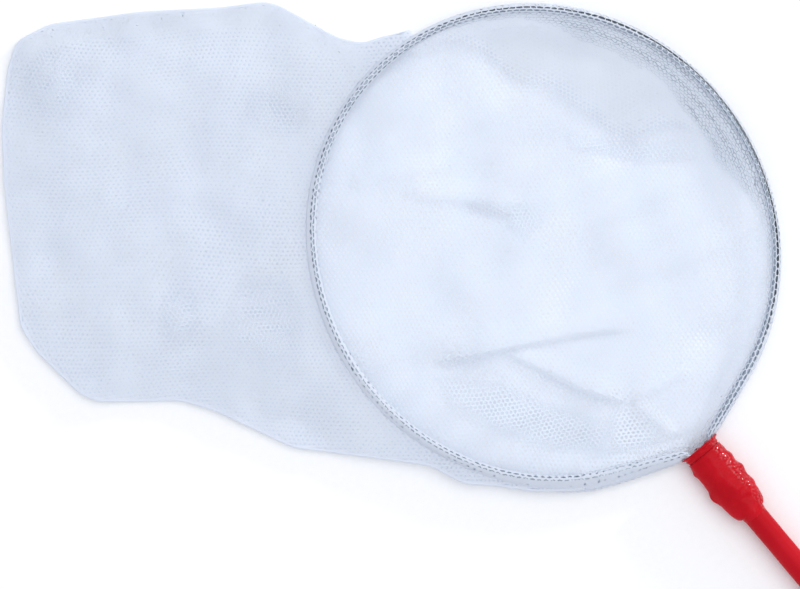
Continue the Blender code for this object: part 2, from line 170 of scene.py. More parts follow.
HEM_SAG = 0.5
GATHER_SWING = 0.22

# How the bag lies
DOME_HEIGHT = 3.5 * MM
NET_LIE = 1.7 * MM
BROAD_WAVE = 60 * MM
SHORT_WAVE = 22 * MM
LOWER_WAVES = (0.8 * MM, 0.4 * MM)
UPPER_WAVES = (0.7 * MM, 0.35 * MM)
LOWER_BLEND = 12 * MM
UPPER_FREE = 14 * MM
UPPER_BLEND = 42.0 * MM
WALL_RISE = 4.5 * MM
WALL_GRIP = 1.5 * MM
WALL_FOOT = 8.0 * MM
WALL_CURVE = 1.3
FOLD_END = 0.18
FOLD_TURN = math.radians(-27.0)
FOLD_STRAND = 1.02 * MM
FOLD_FADE = 16.0 * MM
FOLD_LIFT = 0.6 * MM
FOLD_HEIGHT = 1.5 * MM
FOLD_RUN = 10 * MM
PUCKER_TURN = math.radians(6.0)
PUCKER_LIFT = 0.5 * MM

# The slack wall inside the far rim
WALL_STRAND = 0.27 * MM
WALL_STRETCH = 1.3
WALL_SQUEEZE = 0.6
WALL_WANDER = 0.40 * MM
WALL_STRAND_WANDER = 0.35
WALL_DRIFT = 0.10
WALL_WAVE = 40 * MM
WALL_WIDEST = 24 * MM
WALL_LIP_RUN = 10 * MM
WALL_CLEARANCE = 0.5 * MM
WALL_DROP = 1.2 * MM
WALL_HANG_FROM, WALL_HANG_RUN = 0.55, 0.45
WALL_RIPPLE = 0.35 * MM
WALL_RIPPLE_RUN = 5 * MM
WALL_STREAK = 6 * MM
WALL_FADE = 7 * MM

# Seam round the tail, and the bearings in degrees between which the netting beside it is closed
SEAM_SMOOTH = 6.5 * MM
SEAM_SOFT = 8.0 * MM
SEAM_NARROW = 1.2 * MM
SEAM_LIFT = 0.25 * MM
SEAM_ROUND = 0.5 * MM
SEAM_LOW = 0.12 * MM
SEAM_TAPER = 16.0 * MM
SEAM_TIP = 0.04
SEAM_TURNS = (30, 60, 90, 120, 150, 180)
CLOSED_BEARINGS = (18, 48)
CLOSED_FADES = (4, 5)

# Red pieces
SLEEVE_REACH = 0.25 * MM
SLEEVE_SEAT = 0.07 * MM
SLEEVE_EDGE = 0.05 * MM
SLEEVE_FADES = (2 * MM, 6 * MM)
COIL_RELIEF = 0.10 * MM
COIL_START = 4 * MM
COIL_STOP = 5 * MM
CREASE_ANGLE = math.radians(50.0)
CREASE_HEIGHT = 0.42 * MM
CREASE_WIDTH = 1.0 * MM
CREASE_WANDER = (0.10, 0.07)
CREASE_JAG = (0.55, 0.45)
WRINKLES = 48
WRINKLE_PLACES = (0.04, 0.80)
WRINKLE_SIZES = (1.4, 1.2)
WRINKLE_HEIGHTS = (0.06, 0.16)
LIP_BEAD = (0.55 * MM, 0.13, 0.10)
LIP_RIDGE = (0.40 * MM, 0.62, 0.14)
LIP_ROUNDS = (0.08, 0.10)
LIP_FADES = (0.15, 0.10)
LIP_SHIFT = 0.35 * MM
LIP_CRUMPLE = 0.09 * MM
HANDLE_WAVE = 0.04 * MM
CAP_CHAMFER = (0.4 * MM, 0.25 * MM)
CAP_POINT = 0.05 * MM

# Camera: straight above, turned as in the photograph
PHOTO_SIZE = (800, 589)
METRES_PER_PIXEL = 0.534 * MM
HOOP_MIDDLE_PIXEL = (544.1, 244.2)
CAMERA_DISTANCE = 2.5
SENSOR_WIDTH = 36.0


def unit(vectors):
    """Vectors scaled to length one."""
    return vectors / np.linalg.norm(vectors, axis=-1, keepdims=True)


def ease(share):
    """Smooth step from 0 to 1."""
    share = np.clip(share, 0.0, 1.0)
    return share * share * (3 - 2 * share)


def turned(points, angle, centre=(0.0, 0.0)):
    """Points turned about a centre in the ground plane."""
    offset = np.asarray(points, float) - centre
    cos, sin = math.cos(angle), math.sin(angle)
    x, y = offset[..., 0], offset[..., 1]
    return np.stack((cos * x - sin * y, sin * x + cos * y), axis=-1) + centre


def ellipse_point(angle):
    """Point of the hoop's centre line, in the hoop's own frame."""
    return np.stack((HOOP_LENGTH / 2 * np.cos(angle), HOOP_WIDTH / 2 * np.sin(angle)), axis=-1)


def neck_corner():
    """How far out the straight shoulders of the hoop would meet the tangs."""
    start = ellipse_point(SHOULDER_ANGLE)
    run = (start[1] - TANG_Y) / (HOOP_WIDTH / 2 * math.cos(SHOULDER_ANGLE))
    return start[0] + run * HOOP_LENGTH / 2 * math.sin(SHOULDER_ANGLE)


NECK_X = neck_corner()
TAPE_START = NECK_X + TAPE_SETBACK
SLEEVE_START = TAPE_START + TAPE_WIDTH + GAP
SLEEVE_END = SLEEVE_START + SLEEVE_LENGTH
TANG_END = SLEEVE_END - SHOULDER_LENGTH - BINDING_MARGIN / 2
COATING_START = SLEEVE_END - SHOULDER_GRIP + GAP
HANDLE_END = NECK_X + HANDLE_LENGTH
CORE_END = HANDLE_END - CAP_END - GAP


def hoop_to_part(points):
    """The hoop sits a little askew on its handle: it is turned about the neck."""
    return turned(points, HOOP_SKEW, np.array((NECK_X, 0.0)))


HOOP_CENTRE = hoop_to_part((0.0, 0.0))
BAG_LEFT = np.array((math.cos(BAG_HEADING), math.sin(BAG_HEADING)))
BAG_UP = np.array((BAG_LEFT[1], -BAG_LEFT[0]))


def bag_to_part(up, left):
    """A place on the bag, as the photograph shows it, on the ground plane of the part."""
    up, left = np.asarray(up), np.asarray(left)
    return HOOP_CENTRE + up[..., None] * BAG_UP + left[..., None] * BAG_LEFT


def part_to_bag(points):
    """How far up and left on the bag points of the ground plane are."""
    offset = points - HOOP_CENTRE
    return offset @ BAG_UP, offset @ BAG_LEFT


def headings_of(points, first=0.0):
    """Directions in degrees, counted on from the first, of points as seen from the hoop's middle."""
    offset = points - HOOP_CENTRE
    heading = np.degrees(np.arctan2(offset[:, 1], offset[:, 0]))
    return np.mod(heading - first, 360.0) + first


def rim_radius(angle):
    """Distance from the hoop's middle to the wire in a direction of the part's frame."""
    cos, sin = np.cos(angle - HOOP_SKEW), np.sin(angle - HOOP_SKEW)
    half_length, half_width = HOOP_LENGTH / 2, HOOP_WIDTH / 2
    return half_length * half_width / np.hypot(half_width * cos, half_length * sin)


def from_hoop(angle, radius):
    """Points at directions and distances from the hoop's middle."""
    angle, radius = np.broadcast_arrays(angle, radius)
    return HOOP_CENTRE + radius[..., None] * np.stack((np.cos(angle), np.sin(angle)), axis=-1)


def rounded_corner(before, corner, after, radius, steps):
    """Arc that rounds the corner between two straight runs."""
    first, last = unit(before - corner), unit(after - corner)
    half = math.acos(float(np.clip(first @ last, -1, 1))) / 2
    centre = corner + unit(first + last) * radius / math.sin(half)
    start = corner + first * radius / math.tan(half) - centre
    end = corner + last * radius / math.tan(half) - centre
    sweep = math.atan2(start[0] * end[1] - start[1] * end[0], float(start @ end))
    return [centre + turned(start, sweep * i / steps) for i in range(steps + 1)]


def path_lengths(path):
    """Length along a path at each of its points."""
    runs = np.linalg.norm(np.diff(path, axis=0), axis=1)
    return np.concatenate(((0.0,), np.cumsum(runs)))


def at_marks(marks, lengths, values):
    """Rows of values at marks between the lengths that they belong to."""
    return np.column_stack([np.interp(marks, lengths, column) for column in values.T])


def resampled(points, step):
    """Points at even distances along a polyline."""
    points = np.asarray(points)
    lengths = path_lengths(points)
    marks = np.linspace(0.0, lengths[-1], max(2, round(lengths[-1] / step)) + 1)
    return at_marks(marks, lengths, points)


def hoop_paths():
    """Centre lines of the whole wire and of the part that the hem wraps."""
    ring_angles = np.linspace(SHOULDER_ANGLE, 2 * math.pi - SHOULDER_ANGLE, RING_STEPS)
    ring = hoop_to_part(ellipse_point(ring_angles))
    wire_ends = []
    for side, shoulder in ((1, ring[0]), (-1, ring[-1])):
        aim = hoop_to_part((NECK_X, side * TANG_Y))
        step = aim - shoulder
        corner = shoulder + step * (side * TANG_Y - shoulder[1]) / step[1]
        end = np.array((TANG_END, side * TANG_Y))
        wire_ends.append([end, *rounded_corner(end, corner, shoulder, NECK_BEND_RADIUS, BEND_STEPS)])
    wire = np.array([*wire_ends[0], *ring, *reversed(wire_ends[1])])
    fine = resampled(wire, FINE_STEP)
    return wire, fine[fine[:, 0] < TAPE_START - HEM_STOP]


def smooth_curve(points, steps=8):
    """Catmull-Rom curve through points."""
    points = [np.asarray(p, float) for p in points]
    padded = [2 * points[0] - points[1], *points, 2 * points[-1] - points[-2]]
    curve = []
    for a, b, c, d in zip(padded, padded[1:], padded[2:], padded[3:]):
        for i in range(steps):
            t = i / steps
            square = (2 * a - 5 * b + 4 * c - d) * t**2
            cube = (3 * b - a - 3 * c + d) * t**3
            curve.append(0.5 * (2 * b + (c - a) * t + square + cube))
    curve.append(points[-1])
    return np.array(curve)


def nearest_on(points, line):
    """Distance of each point to a finely sampled line, and the number of the line's nearest sample."""
    distance, nearest = np.empty(len(points)), np.empty(len(points), int)
    for start in range(0, len(points), BATCH):
        part = points[start : start + BATCH]
        square = (part[:, None, 0] - line[None, :, 0]) ** 2 + (part[:, None, 1] - line[None, :, 1]) ** 2
        nearest[start : start + BATCH] = square.argmin(axis=1)
        distance[start : start + BATCH] = np.sqrt(square.min(axis=1))
    return distance, nearest


def inside(points, outline):
    """Which points lie inside a closed outline."""
    result = np.zeros(len(points), dtype=bool)
    for (ax, ay), (bx, by) in zip(outline, np.roll(outline, -1, axis=0)):
        crosses = (ay > points[:, 1]) != (by > points[:, 1])
        at = ax + (points[:, 1] - ay) * (bx - ax) / np.where(by == ay, 1.0, by - ay)
        result ^= crosses & (points[:, 0] < at)
    return result


def swell(points, length, seed):
    """Smooth random waves over the ground plane, about from -1 to 1, of a given wave length."""
    rng = np.random.default_rng(seed)
    total = np.zeros(len(points))
    for heading, phase, stretch in rng.random((WAVES, 3)):
        turn = 2 * math.pi * heading
        along = points[:, 0] * math.cos(turn) + points[:, 1] * math.sin(turn)
        total += np.sin(2 * math.pi * (along / (length * (SHORTEST_WAVE + WAVE_RANGE * stretch)) + phase))
    return total / math.sqrt(WAVES)


# Bag surfaces

WIRE_PATH, HEM_PATH = hoop_paths()
FIRST_SIDE, LAST_SIDE = (BAG_HEADING - bearing for bearing in BAG_SIDE_BEARINGS)


def tail_edge():
    """Outer edge of the bag's tail, from one side of the hoop round to the other."""
    clear = HEM_OUTSIDE + GAP + PANEL_LIP
    points = [from_hoop(FIRST_SIDE, rim_radius(FIRST_SIDE) + clear)]
    for bearing, reach in TAIL_OUTLINE:
        angle = BAG_HEADING - math.radians(bearing)
        points.append(from_hoop(angle, rim_radius(angle) + reach * MM))
    points.append(from_hoop(LAST_SIDE, rim_radius(LAST_SIDE) + clear))
    edge = resampled(points, EDGE_STEP)
    for _ in range(EDGE_SMOOTHING):
        edge[1:-1] = (edge[:-2] + 2 * edge[1:-1] + edge[2:]) / 4
    return edge


def far_rim():
    """The part of the rim where the bag's wall goes down inside the hoop."""
    offset = HEM_PATH - HOOP_CENTRE
    headings = np.mod(np.arctan2(offset[:, 1], offset[:, 0]), 2 * math.pi)
    start = from_hoop(FIRST_SIDE, rim_radius(FIRST_SIDE))
    end = from_hoop(LAST_SIDE, rim_radius(LAST_SIDE))
    one_side = HEM_PATH[headings < FIRST_SIDE][::-1]
    other_side = HEM_PATH[headings > LAST_SIDE][::-1]
    return resampled(np.array([start, *one_side, *other_side, end]), RIM_STEP)


TAIL_EDGE = tail_edge()
FAR_RIM = far_rim()
NEAR_SWEEP = np.linspace(FIRST_SIDE, LAST_SIDE, NEAR_STEPS)
NEAR_RIM = from_hoop(NEAR_SWEEP, rim_radius(NEAR_SWEEP) + WIRE_RADIUS + GAP)
LOWER_OUTLINE = np.vstack((FAR_RIM, TAIL_EDGE[::-1]))
UPPER_OUTLINE = np.vstack((NEAR_RIM, TAIL_EDGE[::-1]))

# Folds that lie across the mouth: points as (up, left) on the bag in millimetres, height, and how far the
# fold runs out on its upper and its lower side
MOUTH_FOLDS = (
    (((-62.9, 60.9), (-59.2, 39.6), (-54.9, 20.9), (-50.2, -3.2), (-46.4, -24.5),
        (-44.2, -51.2)), 2.3, 13, 2.1),
    (((-56.5, 23.5), (-67.2, -0.5), (-76.3, -19.2), (-81.7, -35.2), (-83.7, -46.9)), 2.1, 8, 2),
    (((-83.2, -45.9), (-75.2, -61.9), (-66.1, -79)), 1.3, 3, 3),
    (((-84.3, -46.9), (-93.9, -59.2), (-104.6, -71.5)), 1.3, 4, 2.6),
    (((27.9, 77), (25.7, 50.2), (22, 28.9), (15.1, 11.8)), 1.4, 9, 4),
    (((30, 106), (39.6, 77), (43.9, 47.6)), 1, 6, 5),
)
# The slack wall inside the far rim lies in folds over itself: heading in degrees, then how far in from the
# rim its long and its short fold reach, in millimetres
WALL_FOLDS = (
    (-80, 3, 3), (-30, 4, 4), (-10, 6, 5), (22, 7, 4), (45, 7, 4.5),
    (59, 8, 7), (74, 18, 16), (86, 23, 18.5), (95, 40, 17.5), (112, 58, 15),
    (127, 54, 14), (134, 50, 11), (148, 39, 6), (158, 24, 4), (166, 10, 3),
    (172, 4, 3), (280, 3, 3),
)
# Tucks where the netting lies double, and puckers where its meshes stand up: how many of the corners lie on
# a sharp crest, how far the other sides fade out, the widest that the strands show, and the corners as
# (up, left) on the bag, in millimetres
TUCKS = (
    (6, 10, 0.63, ((-60.8, 63.6), (-57.6, 39.6), (-54.4, 20.9), (-49.6, -8.5), (-45.8, -40.5),
        (-45.3, -53.9), (-48.5, -40.5), (-53.3, -8.5), (-59.7, 20.9), (-65.5, 34.2), (-68, 54))),
    (4, 8, 0.64, ((-57.6, 20.9), (-66.6, -0.5), (-75.7, -19.2), (-82.1, -46.9), (-87.3, -51.2),
        (-86.3, -29.9), (-81.5, -13.8), (-71.4, 2.2))),
    (0, 6, 0.56, ((22, 43.8), (25.2, 34.2), (23.1, 20.9), (17.2, 13.9), (12.4, 20.9), (14, 31.6),
        (17.2, 40.6))),
)
MOUTH_PUCKERS = (
    (0, 9, 0.5, ((-85.9, -34.3), (-82.2, -51.2), (-92.8, -65), (-106, -64), (-113, -55.9),
        (-113, -39.6), (-104.6, -32.3))),
    (0, 9, 0.4, ((-68.2, 60.9), (-72.5, 23.5), (-85.9, -8.5), (-93, -34), (-112, -38),
        (-112, -5), (-103, 22), (-88, 52))),
    (0, 5, 0.3, ((62, -8.5), (55.6, -40.5), (56.7, -83.2), (45, -83.2), (42.3, -51.2),
        (50.3, -13.8))),
    (0, 6, 0.36, ((23.6, 20.9), (20.9, 2.2), (10.3, -0.5), (2.2, 10.2), (8.7, 20.9))),
)
TAIL_PUCKERS = (
    (0, 8, 0.36, ((-21, 196), (-27, 185), (-40, 183), (-53, 188), (-56, 198),
        (-43, 206), (-29, 205))),
    (0, 12, 0.22, ((90, 152), (90, 132), (74, 121), (58, 128), (56, 150),
        (70, 162))),
    (0, 14, 0.24, ((-16, 160), (-16, 138), (-36, 125), (-62, 130), (-70, 150),
        (-54, 172), (-30, 172))),
    (0, 12, 0.26, ((106, 272), (108, 254), (88, 244), (66, 252), (68, 272),
        (84, 280))),
)
# Patches where the netting is pulled open: (up, left) on the bag, half length up and left, and how wide the
# strands stay there, in millimetres
LOWER_PATCHES = (
    (-100, -51, 20, 19, 0.52), (-78, 26, 14, 40, 0.71), (8, -6, 11, 14, 0.63),
    (14, 70, 20, 22, 0.71), (52, -34, 12, 46, 0.68), (88, 30, 18, 60, 0.68),
    (-50, 96, 30, 12, 0.69), (-20, -96, 40, 12, 0.68),
)
UPPER_PATCHES = (
    (-38, 194, 15, 10, 0.54), (86, 264, 16, 14, 0.59), (72, 142, 11, 14, 0.59),
    (-42, 148, 22, 18, 0.64), (30, 246, 16, 20, 0.68), (6, 178, 18, 20, 0.69),
    (96, 190, 10, 26, 0.69),
)


def fold_heights(points, folds):
    """Height that a set of folds adds at each point."""
    total = np.zeros(len(points))
    for marks, height, upper_run, lower_run in folds:
        marks = np.array(marks) * MM
        line = resampled(smooth_curve(bag_to_part(marks[:, 0], marks[:, 1])), LINE_STEP)
        distance, nearest = nearest_on(points, line)
        upward = (points - line[nearest]) @ BAG_UP > 0
        run = np.where(upward, upper_run, lower_run) * MM
        share = nearest / (len(line) - 1)
        fade = ease(share / FOLD_END) * ease((1 - share) / FOLD_END)
        total += height * MM * fade * np.exp(-((distance / run) ** 2))
    return total


def wall_folds(points):
    """Reach of the long and the short fold of the far wall in the direction of each point."""
    headings, long_folds, short_folds = np.array(WALL_FOLDS).T
    heading = headings_of(points, headings[0])
    wander = 1 + WALL_DRIFT * swell(points, WALL_WAVE, seed=11)
    long_reach = np.interp(heading, headings, long_folds) * MM * wander
    return long_reach, np.interp(heading, headings, short_folds) * MM * wander


def ripples(points, heights, seed):
    """Broad and short waves of loose netting."""
    broad, short = heights
    return broad * swell(points, BROAD_WAVE, seed) + short * swell(points, SHORT_WAVE, seed + 1)


def lower_height(points):
    """Middle of the lower panel's netting above the ground."""
    to_rim, _ = nearest_on(points, FAR_RIM)
    hang = np.clip(1 - np.maximum(to_rim - WALL_GRIP, 0.0) / WALL_FOOT, 0, 1)
    lie = np.maximum(NET_LIE + ripples(points, LOWER_WAVES, seed=3), 0.0)
    free = ease(to_rim / LOWER_BLEND) * (fold_heights(points, MOUTH_FOLDS) + lie)
    return NET_THICKNESS / 2 + WALL_RISE * hang**WALL_CURVE + free


def upper_height(points):
    """Middle of the upper panel's netting above the ground."""
    to_edge, _ = nearest_on(points, TAIL_EDGE)
    to_rim, _ = nearest_on(points, NEAR_RIM)
    base = lower_height(points) + NET_THICKNESS + SEAM_ROOM
    free = ease(to_edge / UPPER_FREE) * ease(to_rim / UPPER_FREE)
    wave = free * ripples(points, UPPER_WAVES, seed=7)
    crown = base + np.maximum(DOME_HEIGHT * ease(to_edge / DOME_RUN) + wave, 0.0)
    return AXIS_Z + (crown - AXIS_Z) * ease(to_rim / UPPER_BLEND)


def bag_strands(points, usual, patches, seed):
    """Half width of the strands: it drifts, is less in open patches, and closes towards the seam's top."""
    drift = sum(share * swell(points, length, seed + i) for i, (share, length) in enumerate(DRIFT_WAVES))
    width = usual + STRAND_DRIFT * drift
    up, left = part_to_bag(points)
    for middle_up, middle_left, half_up, half_left, strand in patches:
        away = ((up / MM - middle_up) / half_up) ** 2 + ((left / MM - middle_left) / half_left) ** 2
        width = width + (strand * MM - width) * np.exp(-(away**2))
    bearing = np.degrees(BAG_HEADING) - headings_of(points)
    (first, last), (fade_in, fade_out) = CLOSED_BEARINGS, CLOSED_FADES
    to_edge, _ = nearest_on(points, TAIL_EDGE)
    closing = ease(1 - (to_edge - SEAM_SMOOTH) / SEAM_SOFT)
    closing = closing * ease((bearing - first) / fade_in) * ease((last - bearing) / fade_out)
    return np.clip(width + (CLOSED_STRAND - width) * closing, OPEN_STRAND, CLOSED_STRAND)


def in_from_rim(points):
    """Distance of points to the far rim, and how far in the long fold reaches there."""
    return nearest_on(points, FAR_RIM)[0], wall_folds(points)[0]


def folded_height(points):
    """Middle of the netting that lies double on the lower panel."""
    to_rim, long_reach = in_from_rim(points)
    share = np.clip(to_rim / long_reach, 0, 1)
    lift = FOLD_HEIGHT * np.sqrt(np.maximum(1 - share**2, 0.0)) * ease(to_rim / FOLD_RUN)
    return lower_height(points) + FOLD_LIFT + lift


# Mesh building


def mesh_piece(name, points, quads, mat, smooth=True):
    """A mesh object from arrays of points and four-sided faces."""
    mesh = bpy.data.meshes.new(name)
    mesh.vertices.add(len(points))
    mesh.vertices.foreach_set("co", np.ascontiguousarray(points, np.float32).ravel())
    mesh.loops.add(4 * len(quads))
    mesh.loops.foreach_set("vertex_index", np.ascontiguousarray(quads, np.int32).ravel())
    mesh.polygons.add(len(quads))
    mesh.polygons.foreach_set("loop_start", np.arange(0, 4 * len(quads), 4, dtype=np.int32))
    mesh.update(calc_edges=True)
    if smooth:
        mesh.shade_smooth()
    mesh.materials.append(mat)
    obj = bpy.data.objects.new(name, mesh)
    bpy.context.scene.collection.objects.link(obj)
    return obj


def loft(name, rings, mat, closed):
    """Skin over a row of equal rings; a closed row of rings joins back to its start."""
    rings = np.asarray(rings)
    count, sides, _ = rings.shape
    index = np.arange(count * sides).reshape(count, sides)
    following = np.roll(index, -1, axis=0) if closed else index[1:]
    low = index if closed else index[:-1]
    quads = np.stack((low, np.roll(low, -1, axis=1), np.roll(following, -1, axis=1), following), axis=-1)
    return mesh_piece(name, rings.reshape(-1, 3), quads.reshape(-1, 4), mat)


def net_piece(name, spans, keep, place, mat, half_width, height=STRAND_HEIGHT, spread=1.0,
              wander=KNOT_WANDER):
    """Hexagonal netting over a surface.

    spans are the ranges of the two flat directions, keep says which knots to keep from their flat places,
    place puts flat places in space, and half_width gives the strands' half width at flat places, times
    spread in the second direction. Each knot has a top and three points between its strands, so that a
    strand is a thin arched ribbon.
    """
    (u_low, u_high), (v_low, v_high) = spans
    column_step = PITCH * math.sqrt(3) / 2
    reach = PITCH / math.sqrt(3)
    columns = np.arange(math.floor(u_low / column_step) - 1, math.ceil(u_high / column_step) + 2)
    rows = np.arange(math.floor(v_low / PITCH) - 1, math.ceil(v_high / PITCH) + 2)
    i, j = np.meshgrid(columns, rows, indexing="ij")
    shape = i.shape
    hole_u, hole_v = i * column_step, (j + (i % 2) / 2) * PITCH
    u = np.concatenate(((hole_u + reach).ravel(), (hole_u - reach).ravel()))
    v = np.concatenate((hole_v.ravel(), hole_v.ravel()))
    count = i.size

    column, row = np.indices(shape)
    odd = i % 2
    ends = np.full((3, *shape), -1)
    for k, (di, dj) in enumerate(((2, 0 * odd), (1, odd), (1, odd - 1))):
        to_column, to_row = column + di, row + dj
        valid = (to_column < shape[0]) & (to_row >= 0) & (to_row < shape[1])
        ends[k][valid] = count + (to_column * shape[1] + to_row)[valid]
    ends = ends.reshape(3, count)

    alive = keep(u, v)
    for _ in range(PRUNING):
        linked = (ends >= 0) & alive[:count] & alive[np.maximum(ends, 0)]
        degree = np.concatenate((linked.sum(axis=0), np.zeros(count, int)))
        np.add.at(degree, ends[linked], 1)
        alive &= degree >= 2
    linked = (ends >= 0) & alive[:count] & alive[np.maximum(ends, 0)]

    used = np.flatnonzero(alive)
    number = np.full(2 * count, -1)
    number[used] = np.arange(len(used))
    u, v = u[used], v[used]
    shift = np.random.default_rng(len(used)).normal(0.0, wander, (2, len(used)))
    u, v = u + shift[0], v + shift[1]
    middle = place(u, v)
    along_u = (place(u + SMALL_STEP, v) - place(u - SMALL_STEP, v)) / (2 * SMALL_STEP)
    along_v = (place(u, v + SMALL_STEP) - place(u, v - SMALL_STEP)) / (2 * SMALL_STEP)
    normal = unit(np.cross(along_u, along_v))
    sign = np.where(used < count, -1.0, 1.0)[:, None]
    points = np.empty((len(used), 4, 3))
    points[:, 0] = middle + normal * height
    notch = (half_width(u, v) / math.cos(math.radians(30)))[:, None]
    for k, angle in enumerate(np.radians((0, 120, 240))):
        aside = math.cos(angle) * along_u + spread * math.sin(angle) * along_v
        points[:, 1 + k] = middle + sign * notch * aside

    faces = []
    for k in range(3):
        one, two = 1 + (k + 1) % 3, 1 + (k + 2) % 3
        a = 4 * number[np.flatnonzero(linked[k])]
        b = 4 * number[ends[k][linked[k]]]
        faces.append(np.stack((a, b, b + one, a + two), axis=1))
        faces.append(np.stack((b, a, a + one, b + two), axis=1))
    return mesh_piece(name, points.reshape(-1, 3), np.concatenate(faces), mat)


# Materials


def node_material(name):
    """A new Principled material; returns it with its node tree and shader."""
    mat = bpy.data.materials.new(name)
    mat.use_nodes = True
    return mat, mat.node_tree, mat.node_tree.nodes["Principled BSDF"]


def set_inputs(tree, node, inputs):
    """Gives a node's inputs plain values, or links them from sockets."""
    for name, value in inputs.items():
        if isinstance(value, bpy.types.NodeSocket):
            tree.links.new(value, node.inputs[name])
        else:
            node.inputs[name].default_value = value


def add_node(tree, kind, inputs, **settings):
    """A new node with its settings and inputs."""
    node = tree.nodes.new(kind)
    for name, value in settings.items():
        setattr(node, name, value)
    set_inputs(tree, node, inputs)
    return node


def coordinates(tree, kind="Object"):
    """Coordinates of the part or of the world."""
    return tree.nodes.new("ShaderNodeTexCoord").outputs[kind]


def add_noise(tree, scale, detail=4.0):
    """Noise in the part's own coordinates."""
    inputs = {"Scale": scale, "Detail": detail, "Vector": coordinates(tree)}
    return add_node(tree, "ShaderNodeTexNoise", inputs).outputs["Fac"]


def add_ramp(tree, factor, low, high, stops=(0.35, 0.65)):
    """Colour ramp between two colours or grey levels."""
    ramp = add_node(tree, "ShaderNodeValToRGB", {"Fac": factor})
    for element, stop, colour in zip(ramp.color_ramp.elements, stops, (low, high)):
        element.position = stop
        element.color = (*colour, 1.0) if hasattr(colour, "__len__") else (colour, colour, colour, 1.0)
    return ramp.outputs["Color"]


def surface(name, colours, roughness, scales, bump, metallic=0.0, shine=0.5):
    """Procedural material: colour that drifts between two tones, varied roughness and a fine bump."""
    mat, tree, shader = node_material(name)
    drift, fine = (add_noise(tree, scale) for scale in scales)
    relief = add_node(tree, "ShaderNodeBump", {"Height": fine, "Strength": bump[0], "Distance": bump[1]})
    set_inputs(tree, shader, {
        "Base Color": add_ramp(tree, drift, *colours),
        "Roughness": add_ramp(tree, fine, *roughness),
        "Normal": relief.outputs["Normal"],
        "Metallic": metallic,
        "Specular IOR Level": shine,
    })
    return mat


def let_through(mat, colour, share):
    """Lets part of the light through a material, as thin nylon does."""
    tree = mat.node_tree
    plain = tree.nodes["Principled BSDF"].outputs["BSDF"]
    through = add_node(tree, "ShaderNodeBsdfTranslucent", {"Color": (*colour, 1.0)}).outputs["BSDF"]
    mix = add_node(tree, "ShaderNodeMixShader", {"Fac": share, 1: plain, 2: through})
    set_inputs(tree, tree.nodes["Material Output"], {"Surface": mix.outputs["Shader"]})
    return mat


NET_ROUGHNESS = (0.45, 0.62)
NET_SCALES = (30, 2500)
NET_BUMP = (0.3, 0.1 * MM)


def netting(name, low, high, through, share):
    """Material of netting that drifts between two tones and lets a share of the light through."""
    return let_through(surface(name, (low, high), NET_ROUGHNESS, NET_SCALES, NET_BUMP), through, share)


def smooth_share(tree, value, low, high):
    """Smooth step of a value, from 0 at low to 1 at high."""
    inputs = {"From Min": low, "From Max": high, "Value": value}
    return add_node(tree, "ShaderNodeMapRange", inputs, interpolation_type="SMOOTHSTEP").outputs["Result"]


def product(tree, first, second):
    """Product of two values."""
    return add_node(tree, "ShaderNodeMath", {0: first, 1: second}, operation="MULTIPLY").outputs["Value"]


def paint_wire_shade(mat, direction, start, end, colour):
    """Paints shade on the outer side of the hoop's wire towards one side of the part, by darkening its base
    colour there.
    """
    tree = mat.node_tree
    shader = tree.nodes["Principled BSDF"]
    plain = shader.inputs["Base Color"].links[0].from_socket

    def vector(operation, result, *values):
        inputs = dict(enumerate(values))
        return add_node(tree, "ShaderNodeVectorMath", inputs, operation=operation).outputs[result]

    offset = vector("SUBTRACT", "Vector", coordinates(tree), (*HOOP_CENTRE, AXIS_Z))
    outward = vector("NORMALIZE", "Vector", offset)
    facing = vector("DOT_PRODUCT", "Value", coordinates(tree, "Normal"), outward)
    along = vector("DOT_PRODUCT", "Value", offset, direction)
    both = product(tree, smooth_share(tree, facing, 0.0, OUTER_SIDE), smooth_share(tree, along, start, end))
    inputs = {"Factor": both, "A": plain, "B": (*colour, 1.0)}
    mix = add_node(tree, "ShaderNodeMix", inputs, data_type="RGBA", blend_type="MULTIPLY")
    set_inputs(tree, shader, {"Base Color": mix.outputs["Result"]})


def gloss_spots(mat, start, end, low, high):
    """Gives a material spots of more shine towards the side of +Y."""
    tree = mat.node_tree
    split = add_node(tree, "ShaderNodeSeparateXYZ", {"Vector": coordinates(tree)})
    side = smooth_share(tree, split.outputs["Y"], start, end)
    spots = add_ramp(tree, add_noise(tree, SPOT_SCALE, SPOT_DETAIL), 0.0, 1.0, SPOT_STOPS)
    inputs = {"To Min": low, "To Max": high, "Value": product(tree, side, spots)}
    shine = add_node(tree, "ShaderNodeMapRange", inputs).outputs["Result"]
    set_inputs(tree, tree.nodes["Principled BSDF"], {"Specular IOR Level": shine})


NET = netting("white_netting", (0.857, 0.914, 0.992), (0.887, 0.934, 0.998), (0.872, 0.924, 0.998), 0.5)
# Paler copy of the same netting for the upper panel and the folds: its brighter colour is painted light that
# lifts their shaded tone, and it also lets more light through
LIGHTENED_NET = netting("netting_painted_light", (0.93, 0.96, 0.999), (0.95, 0.974, 1.0), (0.942, 0.968, 1.0), 0.58)
FOLDED_NET = netting("folded_netting", (0.835, 0.885, 0.955), (0.865, 0.905, 0.965),
                     (0.85, 0.895, 0.96), 0.3)
# Grey copy of the white netting for the slack wall inside the far rim: its darkness is painted shade
SHADED_WALL_NET = netting("wall_netting_painted_shade", (0.50, 0.545, 0.61), (0.54, 0.585, 0.65), (0.52, 0.565, 0.63), 0.25)
# Darker copy of the white netting for the hem round the wire: the difference in tone is painted shade
SHADED_HEM_NET = netting("hem_netting_painted_shade", (0.77, 0.83, 0.92), (0.80, 0.85, 0.935), (0.785, 0.84, 0.93), 0.26)
PUCKER_NET = netting("puckered_netting", (0.855, 0.915, 0.995), (0.885, 0.935, 0.999),
                     (0.87, 0.925, 0.998), 0.26)
BAND = surface("seam_band", ((0.86, 0.90, 0.965), (0.88, 0.915, 0.975)), (0.5, 0.7), (60, 1600),
               (0.4, 0.1 * MM))
let_through(BAND, (0.87, 0.905, 0.97), 0.42)
